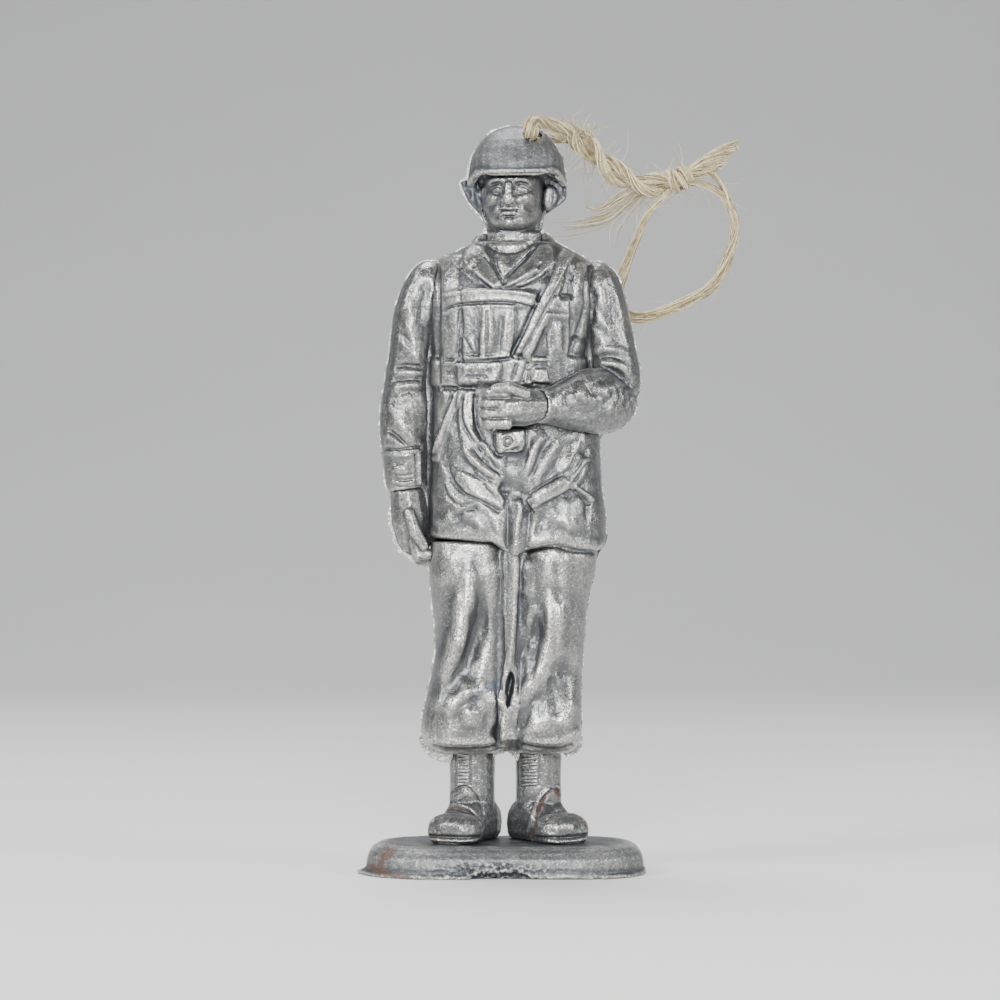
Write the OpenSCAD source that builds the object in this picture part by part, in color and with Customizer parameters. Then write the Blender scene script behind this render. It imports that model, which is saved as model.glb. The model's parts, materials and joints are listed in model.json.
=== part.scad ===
// Toy soldier figure: a one-shot silver plastic moulding of a standing paratrooper on a rounded
// base, with a doubled length of twine threaded through a hole in the helmet's crown.
// The figure faces -Y and stands on z = 0. Right and left are the soldier's own.
// The moulding is built as the sections that show on it, each seated on its neighbour.

/* [Base] */
// Length of the base from end to end
base_w = 22.1; // [18:0.1:28]
// Depth of the base from front to back
base_d = 12; // [10:0.1:16]
// Thickness of the base
base_h = 2.4; // [1.8:0.1:3.2]
// Radius of the corners in plan
base_corner_r = 5; // [3:0.1:5]
// Radius that rounds the top edge
base_edge_r = 1.5; // [0.5:0.1:1.7]
// Thickness of the moulding lip round the foot of the base
lip_t = 0.25; // [0.15:0.05:0.4]

/* [Boots] */
// Height of the boots from the base to the trouser cuff
boot_h = 7.1; // [5.5:0.1:9]
// Width of the boot shaft
shaft_w = 3.7; // [3:0.1:4.4]
// Depth of the boot shaft
shaft_d = 3.7; // [3.2:0.1:4.6]
// Length of the boot from heel to toe
foot_l = 7.2; // [6:0.1:8.4]
// Width of the boot at the toe cap
foot_w = 4.4; // [3.4:0.1:5]
// Height of the toe cap
toe_h = 2.4; // [1.8:0.1:3]
// Angle that the right foot turns out
right_foot_turn = 24; // [0:1:40]
// Angle that the left foot turns out
left_foot_turn = 34; // [0:1:40]

/* [Trousers] */
// Height of the trousers from the cuff to the jacket hem
leg_h = 16.9; // [13:0.1:21]
// Width of a trouser leg at the thigh
leg_w = 6.5; // [5.6:0.1:7.4]
// Depth of a trouser leg at the thigh
leg_d = 7.5; // [6:0.1:9]
// How deep a trouser fold is
trouser_fold = 0.45; // [0.1:0.05:0.7]
// Thickness of the web of plastic between the legs
web_w = 1; // [0.6:0.05:1.4]

/* [Jacket] */
// Height of the jacket from the hem to the foot of the neck
torso_h = 23.9; // [19:0.1:29]
// Width of the jacket at the hips
torso_w = 14; // [12:0.1:16]
// Depth of the jacket at the hips
torso_d = 8.6; // [7:0.1:10.5]
// How deep a jacket fold is
jacket_fold = 0.4; // [0.1:0.05:0.6]
// Thickness of the collar leaves
collar_t = 0.4; // [0.25:0.05:0.6]
// How far the collar rises above the foot of the neck
collar_rise = 0.85; // [0.4:0.05:1.1]
// Thickness of the pockets
pocket_t = 0.3; // [0.2:0.05:0.5]

/* [Arms] */
// Width of a sleeve at the elbow of the hanging arm
sleeve_w = 4; // [3.4:0.1:4.6]
// Depth of a sleeve from front to back
sleeve_d = 4.4; // [3.6:0.1:5.2]
// How deep a sleeve fold is
sleeve_fold = 0.3; // [0.1:0.05:0.5]
// Diameter of a finger
finger_d = 1; // [0.8:0.05:1.2]

/* [Head and helmet] */
// Height of the neck that shows above the jacket
neck_h = 1; // [0.6:0.1:1.6]
// Width of the neck
neck_w = 4.4; // [3.8:0.1:5]
// Height of the face from the chin to the helmet's front rim
face_h = 4; // [3.4:0.1:4.8]
// Width of the face
face_w = 5.1; // [4.6:0.1:5.6]
// Depth of the head from the brow to the nape
head_d = 7; // [6:0.1:8]
// Angle that the head turns to the soldier's right
head_turn = 8; // [0:1:20]
// Height of the helmet above its front rim
dome_h = 4.35; // [3.6:0.05:5.1]
// Width of the helmet at its front rim
helmet_w = 7.6; // [7:0.1:8.6]
// Depth of the helmet from front to back
helmet_d = 9; // [8:0.1:10]
// Thickness of the helmet's lip
helmet_wall = 0.5; // [0.3:0.05:0.7]
// How far the helmet's sides and back come down below the front rim
helmet_drop = 1.1; // [0.3:0.1:1.8]

/* [Straps] */
// Thickness of the webbing straps
strap_t = 0.3; // [0.2:0.05:0.5]
// Width of the webbing straps
strap_w = 1.2; // [0.8:0.05:1.5]
// Height of the belt
belt_h = 2.1; // [1.4:0.1:2.6]
// Width of the belt buckle
buckle_w = 3.4; // [2.6:0.1:4]

/* [Twine] */
// Diameter of one strand of the twine
strand_d = 1.05; // [0.9:0.05:1.2]
// Diameter of the twine where two strands are twisted together
twine_d = 2.1; // [1.8:0.05:2.3]
// Diameter of the thin strand that makes the hanging loop
loop_d = 0.8; // [0.7:0.05:1]
// Clearance of the strand in the helmet's hole
hole_clearance = 0.1; // [0.05:0.05:0.2]

/* [Hidden] */

silver = [0.56, 0.58, 0.6];
flax = [0.8, 0.76, 0.62];

// Stack of the figure, from the base up
cuff_z = base_h + boot_h;
hem_z = cuff_z + leg_h;
neck_z = hem_z + torso_h;
chin_z = neck_z + neck_h;
brim_z = chin_z + face_h;

// Cuts run this far past what they cut
overrun = 1;

// Shaping that the pieces share

function spow(v, p) = sign(v) * pow(abs(v), p);
function unit(v) = v / norm(v);
function total(v) = len(v) == 0 ? 0 : [for (x = v) 1] * v;
function mean(points) = total(points) / len(points);
function turns(n) = [for (i = [0:n - 1]) 360 * i / n];
function place(row) = [row[0], row[1], row[2]];

// A smooth curve through rows of numbers, with so many steps between two rows
function blend4(a, b, c, d, t) =
  (2 * b + (c - a) * t + (2 * a - 5 * b + 4 * c - d) * t * t
   + (3 * b - a - 3 * c + d) * t * t * t) / 2;
function smooth(rows, steps) = [
  for (i = [0:len(rows) - 2]) for (s = [0:steps - 1])
    blend4(rows[max(i - 1, 0)], rows[i], rows[i + 1], rows[min(i + 2, len(rows) - 1)],
           s / steps),
  rows[len(rows) - 1]
];

// Section rows are [x, y, z, half width, front depth, back depth], made from share rows
// [height, shift, half width, front depth, back depth]
function upright_rows(shares, at, w, d, h) = [
  for (s = shares)
    [at.x + s[1] * w, at.y, at.z + s[0] * h, s[2] * w, s[3] * d, s[4] * d]
];

// How much a set of folds lifts a point of a front or back face. A fold is
// [x1, z1, x2, z2, breadth, height]: a ridge, or a groove if its height is negative.
function from_line(p, f) =
  let (a = [f[0], f[1]], d = [f[2], f[3]] - a, s = max(0, min(1, (p - a) * d / (d * d))))
  norm(p - a - s * d);
function lift_at(p, folds) =
  total([for (f = folds) f[5] * exp(-pow(from_line(p, f) / f[4], 2))]);
// Folds from shares [x1, z1, x2, z2, height]: x of the half width, z of the height
function folds_on(shares, at, w, h, breadth, height) = [
  for (s = shares)
    [at.x + s[0] * w / 2, at.z + s[1] * h, at.x + s[2] * w / 2, at.z + s[3] * h,
     breadth, s[4] * height]
];

// One section across a limb that runs along t, squared by the exponent e, with folds raised
// on its front and back
function section(row, t, e, n, front = [], back = []) =
  let (u = unit(cross([0, 1, 0], t)), v = cross(t, u))
  [for (a = turns(n))
    let (c = spow(cos(a), 2 / e), s = spow(sin(a), 2 / e),
         p = place(row) + u * row[3] * c + v * (s < 0 ? row[4] : row[5]) * s,
         lift = lift_at([p.x, p.z], s < 0 ? front : back) * min(1, 2 * abs(s)))
    p + [0, sign(s) * lift, 0]];
function limb(rows, e, n, front = [], back = []) = [
  for (i = [0:len(rows) - 1])
    section(rows[i],
            unit(place(rows[min(i + 1, len(rows) - 1)]) - place(rows[max(i - 1, 0)])),
            e, n, front, back)
];
function column(rows, e, n, front = [], back = []) = [
  for (row = rows) section(row, [0, 0, 1], e, n, front, back)
];

// Faces between rings of n points, from ring j to ring k
function side_faces(j, k, n) = [
  for (i = [0:n - 1])
    let (a = j * n + i, b = j * n + (i + 1) % n, c = k * n + i, d = k * n + (i + 1) % n)
    each [[a, c, b], [b, c, d]]
];

// A closed solid over rings of points that run anticlockwise about its direction
module skin(rings) {
  n = len(rings[0]);
  m = len(rings);
  points = [for (r = rings) each r, mean(rings[0]), mean(rings[m - 1])];
  low = [for (i = [0:n - 1]) [i, (i + 1) % n, n * m]];
  high = [for (i = [0:n - 1]) [(m - 1) * n + (i + 1) % n, (m - 1) * n + i, n * m + 1]];
  sides = [for (j = [0:m - 2]) each side_faces(j, j + 1, n)];
  polyhedron(points = points, faces = concat(sides, low, high), convexity = 6);
}

// A closed hoop over rings of points, with the last joined to the first
module hoop(rings) {
  m = len(rings);
  faces = [for (j = [0:m - 1]) each side_faces(j, (j + 1) % m, len(rings[0]))];
  polyhedron(points = [for (r = rings) each r], faces = faces, convexity = 6);
}

// Side directions carried along a list of run directions without a twist
function carried(runs, u, i = 0) =
  i == len(runs) ? [] :
  let (v = unit(u - runs[i] * (u * runs[i]))) concat([v], carried(runs, v, i + 1));

// A round tube along route rows [x, y, z, radius share]
module tube(rows, r, n) {
  last = len(rows) - 1;
  runs = [for (i = [0:last])
            unit(place(rows[min(i + 1, last)]) - place(rows[max(i - 1, 0)]))];
  sides = carried(runs, cross([0, 1, 0], runs[0]));
  skin([
    for (i = [0:last])
      let (u = sides[i], v = cross(runs[i], u))
      [for (a = turns(n)) place(rows[i]) + (u * cos(a) + v * sin(a)) * rows[i][3] * r]
  ]);
}

// Base

base_facets = 32;
base_edge_steps = 4;

module corner_disc() {
  rotate_extrude($fn = base_facets) polygon([
    [0, 0],
    [base_corner_r, 0],
    for (a = [0:90 / base_edge_steps:90])
      [base_corner_r - base_edge_r + base_edge_r * cos(a),
       base_h - base_edge_r + base_edge_r * sin(a)],
    [0, base_h]
  ]);
}

// The base stands a little to the left of the figure's middle
base_x_share = 0.011;
// Ragged outline of the lip, in shares of the base's half width and half depth
lip_shares = [
  [-1.068, -0.1], [-1.055, -0.3], [-1.01, -0.5], [-0.93, -0.72], [-0.86, -0.82], [-0.74, -0.96],
  [-0.6, -1.025], [-0.42, -1.03], [-0.34, -1.055], [-0.27, -1.05], [-0.2, -1.015], [0.1, -1.015],
  [0.3, -1.02], [0.55, -1.02], [0.73, -0.97], [0.89, -0.8], [0.985, -0.52], [1.02, -0.25],
  [1.02, 0.1], [0.99, 0.5], [0.89, 0.79], [0.73, 0.97], [0.55, 1.02], [0.1, 1.015], [-0.4, 1.02],
  [-0.73, 0.97], [-0.89, 0.79], [-0.985, 0.52], [-1.02, 0.25], [-1.03, 0.05]
];
// A bite is broken out of the front edge: x of the half width, z of the height
bite_shares = [
  [-0.25, -0.5], [-0.24, 0.05], [-0.2, 0.14], [-0.12, 0.2], [0.02, 0.23], [0.12, 0.2],
  [0.18, 0.08], [0.19, -0.5]
];
bite_depth = 0.45;

module base_plate() {
  color(silver)
    translate([base_x_share * base_w, 0, 0])
      difference() {
        union() {
          hull()
            for (x = [-1, 1], y = [-1, 1])
              translate([x * (base_w / 2 - base_corner_r), y * (base_d / 2 - base_corner_r), 0])
                corner_disc();
          linear_extrude(lip_t)
            polygon([for (s = lip_shares) [s[0] * base_w / 2, s[1] * base_d / 2]]);
        }
        translate([0, bite_depth - base_d / 2, 0]) rotate([90, 0, 0])
          linear_extrude(overrun + bite_depth)
            polygon([for (s = bite_shares) [s[0] * base_w / 2, s[1] * base_h]]);
      }
}

// Boots

foot_n = 16;
shaft_n = 20;
// Where the boot shafts stand, as shares of the jacket's width
right_shaft_share = -0.171;
left_shaft_share = 0.209;
// The ankles stand this share of the shaft's depth behind the figure's middle
ankle_y_share = 0.37;
// Rows from heel to toe: place along the foot's length from the ankle, half width of the
// foot's width, and height of the toe cap's height
foot_shares = [
  [-0.33, 0.22, 0.7], [-0.31, 0.36, 1], [-0.25, 0.42, 1.3], [-0.1, 0.44, 1.6],
  [0.08, 0.42, 1.62], [0.22, 0.42, 1.28], [0.32, 0.45, 0.96], [0.4, 0.49, 1],
  [0.5, 0.5, 1], [0.58, 0.46, 0.9], [0.64, 0.35, 0.7], [0.67, 0.2, 0.45]
];
foot_squareness = 2.6;
// The sole is flat over this share of the section's lower half
sole_share = 0.8;

function foot_ring(s) = [
  for (a = turns(foot_n))
    let (c = spow(cos(a), 2 / foot_squareness), v = spow(sin(a), 2 / foot_squareness))
    [s[1] * foot_w * c, -s[0] * foot_l,
     s[2] * toe_h * (max(v, -sole_share) + sole_share) / (1 + sole_share)]
];

// Rows up the shaft: height, shift, half width, front depth, back depth
shaft_shares = [
  [0, 0, 0.5, 0.36, 0.52], [0.2, 0, 0.5, 0.42, 0.52], [0.38, 0, 0.49, 0.47, 0.5],
  [0.6, 0, 0.49, 0.48, 0.49], [0.85, 0, 0.5, 0.5, 0.5], [1, 0, 0.5, 0.5, 0.5]
];
// The shaft rises out of the foot at this share of the toe cap's height
ankle_share = 0.8;
shaft_squareness = 2.2;

module boot_form(x, turn) {
  foot_z = base_h + ankle_share * toe_h;
  y = ankle_y_share * shaft_d;
  skin(column(upright_rows(shaft_shares, [x, y, foot_z], shaft_w, shaft_d, cuff_z - foot_z),
              shaft_squareness, shaft_n));
  translate([x, y, base_h]) rotate([0, 0, turn]) skin([for (s = foot_shares) foot_ring(s)]);
}

module right_boot() {
  color(silver) boot_form(right_shaft_share * torso_w, -right_foot_turn);
}

module left_boot() {
  color(silver) boot_form(left_shaft_share * torso_w, left_foot_turn);
}

// Trousers: each leg lies flat against the web between them

leg_n = 28;
leg_squareness = 2.5;
leg_fold_w = 0.62;
// Rows up each leg: height, shift from the figure's middle, half width, front and back depth
right_leg_shares = [
  [0, -0.375, 0.31, 0.2, 0.42], [0.012, -0.42, 0.4, 0.33, 0.46],
  [0.05, -0.48, 0.475, 0.43, 0.5], [0.11, -0.508, 0.496, 0.465, 0.475],
  [0.2, -0.468, 0.5, 0.465, 0.47], [0.3, -0.425, 0.485, 0.45, 0.45],
  [0.46, -0.378, 0.447, 0.43, 0.42], [0.6, -0.382, 0.444, 0.44, 0.44],
  [0.84, -0.406, 0.492, 0.48, 0.51], [1, -0.388, 0.486, 0.48, 0.52]
];
left_leg_shares = [
  [0, 0.49, 0.3, 0.2, 0.42], [0.012, 0.52, 0.36, 0.32, 0.45],
  [0.05, 0.542, 0.418, 0.42, 0.49], [0.12, 0.532, 0.446, 0.46, 0.47],
  [0.21, 0.535, 0.44, 0.46, 0.46], [0.3, 0.541, 0.431, 0.44, 0.44],
  [0.46, 0.557, 0.44, 0.43, 0.42], [0.675, 0.582, 0.458, 0.45, 0.46],
  [0.84, 0.631, 0.501, 0.48, 0.51], [1, 0.677, 0.529, 0.48, 0.52]
];
// Folds, with x counted from each leg's own middle
right_leg_middle_share = -0.42;
left_leg_middle_share = 0.57;
right_leg_fold_shares = [
  [-0.1, 0.85, -0.22, 0.54, 1], [-0.22, 0.54, -0.72, 0.26, 1], [0.35, 0.76, 0.1, 0.39, -0.7],
  [0.15, 0.33, -0.2, 0.22, 0.9], [-0.25, 0.22, -0.4, 0.09, 0.6], [0.45, 0.24, 0.5, 0.09, 0.5],
  [0.62, 0.96, 0.5, 0.6, 0.4]
];
left_leg_fold_shares = [
  [0.1, 0.92, 0.3, 0.65, 0.7], [0.3, 0.65, 0.1, 0.39, 1], [0.1, 0.39, -0.25, 0.13, 0.8],
  [-0.15, 0.6, -0.3, 0.48, -0.9], [0.5, 0.39, 0.2, 0.2, -0.6], [0.35, 0.17, 0.62, 0.28, 0.5],
  [-0.5, 0.37, -0.55, 0.13, 0.6]
];
back_leg_fold_shares = [
  [-0.4, 0.54, 0.3, 0.46, 0.6], [-0.3, 0.43, 0.4, 0.37, -0.5], [0.3, 0.33, -0.4, 0.2, 0.7],
  [0, 0.96, 0.1, 0.67, 0.5]
];

// The web stands at this share of the jacket's width from the middle
web_x_share = 0.045;
web_x = web_x_share * torso_w;

// The leg on one side of the web: side is -1 or 1 along X
module leg(side, shares, middle_share, front_shares) {
  middle = [middle_share * leg_w, 0, cuff_z];
  inner_x = web_x + side * web_w / 2;
  rings = column(
    smooth(upright_rows(shares, [0, 0, cuff_z], leg_w, leg_d, leg_h), 2),
    leg_squareness, leg_n,
    folds_on(front_shares, middle, leg_w, leg_h, leg_fold_w, trouser_fold),
    folds_on(back_leg_fold_shares, middle, leg_w, leg_h, leg_fold_w, trouser_fold));
  skin([for (r = rings) [for (p = r) [side * max(side * p.x, side * inner_x), p.y, p.z]]]);
}

module right_trouser_leg() {
  color(silver) leg(-1, right_leg_shares, right_leg_middle_share, right_leg_fold_shares);
}

module left_trouser_leg() {
  color(silver) leg(1, left_leg_shares, left_leg_middle_share, left_leg_fold_shares);
}

// Profile of the web, up its front and down its back: depth and height
web_shares = [
  [-0.22, 0.01], [-0.38, 0.08], [-0.41, 0.3], [-0.41, 0.55], [-0.43, 0.8], [-0.45, 1],
  [0.42, 1], [0.36, 0.8], [0.34, 0.3], [0.3, 0.08], [0.2, 0.01]
];

module inseam_web() {
  color(silver)
    translate([web_x, 0, cuff_z]) rotate([90, 0, 90])
      linear_extrude(web_w, center = true)
        polygon([for (s = web_shares) [s[0] * leg_d, s[1] * leg_h]]);
}

// Jacket

torso_n = 36;
torso_squareness = 2.5;
jacket_fold_w = 0.5;
// Rows up the jacket: height, shift, half width, front and back depth
torso_shares = [
  [0, 0.088, 0.492, 0.475, 0.485], [0.03, 0.089, 0.502, 0.5, 0.51],
  [0.09, 0.09, 0.502, 0.5, 0.52], [0.205, 0.077, 0.489, 0.485, 0.505],
  [0.339, 0.076, 0.484, 0.455, 0.455], [0.44, 0.061, 0.468, 0.44, 0.41],
  [0.525, 0.04, 0.44, 0.43, 0.385], [0.575, 0.039, 0.434, 0.43, 0.385],
  [0.657, 0.043, 0.45, 0.465, 0.42], [0.757, 0.05, 0.464, 0.475, 0.44],
  [0.841, 0.06, 0.474, 0.44, 0.44], [0.9, 0.068, 0.457, 0.38, 0.4],
  [0.941, 0.071, 0.42, 0.325, 0.345], [0.97, 0.075, 0.33, 0.28, 0.3],
  [1, 0.075, 0.24, 0.22, 0.24]
];
torso_foot = [0, 0, hem_z];
torso_rows = smooth(upright_rows(torso_shares, torso_foot, torso_w, torso_d, torso_h), 2);
// Folds: the valley between the skirt's sides, then the folds that fan out from it, and the
// creases of the chest and waist
jacket_fold_shares = [
  [0.07, 0.02, 0.07, 0.16, -1.5], [0.07, 0.16, 0.1, 0.22, -0.9], [0.46, 0.35, 0.24, 0.2, 1.1],
  [0.66, 0.335, 0.36, 0.2, 0.8], [0.91, 0.345, 0.41, 0.16, 0.7], [-0.66, 0.48, -0.72, 0.33, 0.8],
  [-0.55, 0.34, -0.3, 0.14, 0.7], [-0.72, 0.27, -0.5, 0.13, 0.6], [0.66, 0.1, 0.78, 0.04, 0.6],
  [-0.45, 0.1, -0.2, 0.06, 0.5], [0.36, 0.11, 0.2, 0.04, 0.5], [0.32, 0.89, 0.6, 0.82, 0.5]
];
jacket_back_fold_shares = [
  [-0.4, 0.44, -0.1, 0.36, 0.7], [0.5, 0.44, 0.2, 0.36, 0.7], [-0.35, 0.66, -0.05, 0.6, 0.7],
  [0.45, 0.66, 0.15, 0.6, 0.7], [0.05, 0.3, 0.05, 0.02, -0.9], [-0.5, 0.3, -0.3, 0.12, 0.6],
  [0.6, 0.3, 0.4, 0.12, 0.6]
];
jacket_folds =
  folds_on(jacket_fold_shares, torso_foot, torso_w, torso_h, jacket_fold_w, jacket_fold);
jacket_back_folds =
  folds_on(jacket_back_fold_shares, torso_foot, torso_w, torso_h, jacket_fold_w, jacket_fold);

function torso_at(z, part) = lookup(z, [for (row = torso_rows) [row[2], row[part]]]);
// The jacket's front surface behind a point of the front view
function torso_front(x, z) =
  let (across = min(abs(x - torso_at(z, 0)) / torso_at(z, 3), widest_share),
       out = pow(1 - pow(across, torso_squareness), 1 / torso_squareness))
  -torso_at(z, 4) * out - lift_at([x, z], jacket_folds) * min(1, 2 * out);
widest_share = 0.985;

// The jacket between two heights, or whole
module torso(low_z = 0, high_z = brim_z) {
  skin(column([for (row = torso_rows) if (row[2] >= low_z && row[2] <= high_z) row],
              torso_squareness, torso_n, jacket_folds, jacket_back_folds));
}

// The collar stands round the sides and the back of the neck. Points across it: share of the
// neck's half width and height of the collar's rise.
stand_shares = [[0.8, -0.9], [0.8, 0.6], [1.1, 1], [1.28, 0.85], [1.5, 0.1], [1.62, -0.9]];
// Angles round the neck from the left, and how much of the rise the collar has there
stand_angles = [-18, -8, 10, 35, 65, 90, 115, 145, 170, 180, 187];
stand_rises = [0.55, 0.9, 1, 1, 1, 1, 1, 1, 1, 0.9, 0.55];
stand_depth_share = 0.92;

module collar_stand() {
  difference() {
    skin([
      for (i = [0:len(stand_angles) - 1])
        let (a = stand_angles[i], rise = stand_rises[i])
        [for (s = stand_shares)
          [head_x + s[0] * neck_w / 2 * cos(a), s[0] * neck_w / 2 * sin(a) * stand_depth_share,
           neck_z + collar_rise * (s[1] > 0 ? s[1] * rise : s[1])]]
    ]);
    neck();
  }
}

module jacket() {
  color(silver) {
    torso();
    collar_stand();
  }
}

// The belt goes round the waist

belt_share = 0.517;
belt_z = hem_z + belt_share * torso_h;
belt_top_share = belt_share + belt_h / torso_h;
// Rows across the belt: height of the belt's, and thickness of the strap's
belt_shares = [[0, 0.75], [0.12, 1], [0.88, 1], [1, 0.75]];

// A point of the belt at an angle round the waist
function belt_point(a, up_share, lift) =
  let (z = belt_z + up_share * belt_h, c = spow(cos(a), 2 / torso_squareness),
       s = spow(sin(a), 2 / torso_squareness))
  [torso_at(z, 0) + torso_at(z, 3) * c + lift * cos(a),
   torso_at(z, s < 0 ? 4 : 5) * s + lift * sin(a), z];

module belt_form() {
  last = len(belt_shares) - 1;
  hoop([
    for (a = turns(torso_n))
      [for (j = [0:last]) belt_point(a, belt_shares[j][0], belt_shares[j][1] * strap_t),
       for (j = [last:-1:0]) belt_point(a, belt_shares[j][0], 0)]
  ]);
}

// The space that the belt and the waist in it take
module belt_bulk() {
  skin([for (row = belt_shares)
          [for (a = turns(torso_n)) belt_point(a, row[0], row[1] * strap_t)]]);
}

module belt() {
  color(silver) belt_form();
}

// Webbing, pockets and collar leaves that lie on the jacket's front

// Profiles across such pieces: place across the width, and thickness
band_shares = [[-0.46, 1], [-0.16, 1], [0.16, 1], [0.46, 1]];
under_shares = [-0.5, -0.17, 0.17, 0.5];

// A point of the front view, lifted off the jacket
function on_jacket(q, lift) = [q.x, torso_front(q.x, q.y) - lift, q.y];

// A ring across a draped piece, at p in the front view, for a run along d
function draped_ring(p, d, w, t, across) =
  let (side = [d.y, -d.x] * w)
  concat([for (s = under_shares) on_jacket(p + side * s, 0)],
         [for (i = [len(across) - 1:-1:0])
           on_jacket(p + side * across[i][0], t * across[i][1])]);

// A piece of thickness t draped along path rows [x, z, width]
module draped(path, t, across = band_shares, steps = 2) {
  rows = smooth(path, steps);
  last = len(rows) - 1;
  skin([
    for (i = [0:last])
      let (a = rows[max(i - 1, 0)], b = rows[min(i + 1, last)])
      draped_ring([rows[i][0], rows[i][1]], unit([b[0] - a[0], b[1] - a[1]]), rows[i][2], t,
                  across)
  ]);
}

// Path rows from shares [x, z, width]: x of the jacket's half width, z of its height, and the
// width of the one given
function path_on(shares, w) = [
  for (s = shares) [s[0] * torso_w / 2, hem_z + s[1] * torso_h, s[2] * w]
];

// The buckle is a squared frame that lies on the belt
buckle_x_share = -0.14;
buckle_h_share = 0.8;
buckle_window_share = 0.6;
buckle_n = 20;
buckle_squareness = 8;

module belt_buckle() {
  middle = [buckle_x_share * torso_w, belt_z + belt_h / 2];
  half = [buckle_w, buckle_h_share * belt_h] / 2;
  color(silver)
    hoop([
      for (a = turns(buckle_n))
        let (out = [half.x * spow(cos(a), 2 / buckle_squareness),
                    half.y * spow(sin(a), 2 / buckle_squareness)])
        [for (s = [[1, 1], [buckle_window_share, 1], [buckle_window_share, 2], [1, 2]])
          on_jacket(middle + out * s[0], strap_t * s[1])]
    ]);
}

// Straps: rows of x, z and width
right_shoulder_shares = [[-0.57, 0.955, 1.1], [-0.58, 0.86, 1.2], [-0.58, 0.7, 1.2],
                         [-0.58, belt_top_share, 1.1]];
left_shoulder_shares = [[0.88, 0.925, 0.9], [0.9, 0.86, 1], [0.9, 0.75, 1], [0.88, 0.68, 1]];
chest_shares = [[-0.46, 0.803, 1], [-0.3, 0.808, 1], [-0.1, 0.81, 1], [0.15, 0.805, 1],
                [0.385, 0.799, 1]];
sling_shares = [[0.76, 0.967, 0.95], [0.68, 0.92, 1], [0.58, 0.84, 1], [0.45, 0.748, 1],
                [0.33, 0.67, 1], [0.23, belt_top_share + 0.008, 1]];
right_leg_strap_shares = [[-0.41, 0.5, 0.9], [-0.41, 0.43, 1], [-0.39, 0.36, 1],
                          [-0.3, 0.27, 1], [-0.12, 0.215, 1], [0.02, 0.16, 0.9]];
left_leg_strap_shares = [[0.3, 0.115, 0.9], [0.5, 0.15, 1], [0.736, 0.19, 1], [0.85, 0.23, 1],
                         [0.93, 0.28, 0.9]];
// The sling is thicker than the straps and lies over them
sling_t = 1.5 * strap_t;

module chest_strap() {
  color(silver) draped(path_on(chest_shares, strap_w), strap_t);
}

module right_shoulder_strap() {
  color(silver) draped(path_on(right_shoulder_shares, strap_w), strap_t, band_shares, 3);
}

module left_shoulder_strap() {
  color(silver) draped(path_on(left_shoulder_shares, strap_w), strap_t);
}

module sling_strap() {
  color(silver) draped(path_on(sling_shares, strap_w), sling_t);
}

module right_leg_strap() {
  color(silver) draped(path_on(right_leg_strap_shares, strap_w), strap_t);
}

module left_leg_strap() {
  color(silver) draped(path_on(left_leg_strap_shares, strap_w), strap_t);
}

// The sling's end tab hangs under the fist and has an eyelet
sling_end_shares = [[0.1, 0.293, 0.85], [0.1, 0.33, 1], [0.1, 0.372, 1]];
sling_end_w = 2.3;
sling_end_t = 0.7;
eyelet_r = 0.4;
eyelet_depth = 0.4;

module sling_end() {
  row = path_on(sling_end_shares, sling_end_w)[1];
  face_y = torso_front(row[0], row[1]) - sling_end_t;
  color(silver) difference() {
    draped(path_on(sling_end_shares, sling_end_w), sling_end_t);
    translate([row[0], face_y + eyelet_depth, row[1]]) rotate([90, 0, 0])
      cylinder(r = eyelet_r, h = eyelet_depth + overrun, $fn = 24);
  }
}

// Pockets: rows of x, z and width
right_pocket_w = 4.1;
left_pocket_w = 1.9;
flap_w = 2.1;
flap_t_share = 1.6;
right_pocket_shares = [[-0.185, belt_top_share, 0.88], [-0.157, 0.69, 1],
                       [-0.157, 0.771, 1]];
// The right pocket has a pleat down its middle
pleated_shares = [[-0.48, 1], [-0.13, 0.9], [-0.1, 1.6], [0.04, 1.6], [0.07, 0.9], [0.48, 1]];
left_pocket_shares = [[0.655, belt_top_share, 0.95], [0.655, 0.68, 1], [0.655, 0.745, 1]];
flap_shares = [[0.655, 0.745, 0.95], [0.655, 0.805, 1]];

module right_pocket() {
  color(silver) draped(path_on(right_pocket_shares, right_pocket_w), pocket_t, pleated_shares);
}

module left_pocket() {
  color(silver) draped(path_on(left_pocket_shares, left_pocket_w), pocket_t);
}

module left_pocket_flap() {
  color(silver) draped(path_on(flap_shares, flap_w), flap_t_share * pocket_t);
}

// Collar leaves, and the shirt in the open neck: rows of x, z and width
collar_w = 2.1;
shirt_w = 2.6;
shirt_t = collar_t / 2;
right_collar_shares = [[-0.27, 0.985, 0.5], [-0.31, 0.946, 1], [-0.22, 0.903, 0.85],
                       [-0.1, 0.868, 0.55], [-0.02, 0.844, 0.15]];
left_collar_shares = [[0.47, 0.985, 0.5], [0.47, 0.946, 0.85], [0.35, 0.903, 0.85],
                      [0.18, 0.868, 0.55], [0.06, 0.844, 0.15]];
shirt_shares = [[0.03, 0.866, 0.1], [0.06, 0.9, 0.45], [0.1, 0.945, 0.85], [0.11, 0.985, 1]];

module right_collar() {
  color(silver) draped(path_on(right_collar_shares, collar_w), collar_t);
}

module left_collar() {
  color(silver) draped(path_on(left_collar_shares, collar_w), collar_t);
}

module shirt_neck() {
  color(silver) draped(path_on(shirt_shares, shirt_w), shirt_t);
}

// Arms

arm_n = 20;
arm_squareness = 2.2;
sleeve_fold_w = 0.42;
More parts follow.
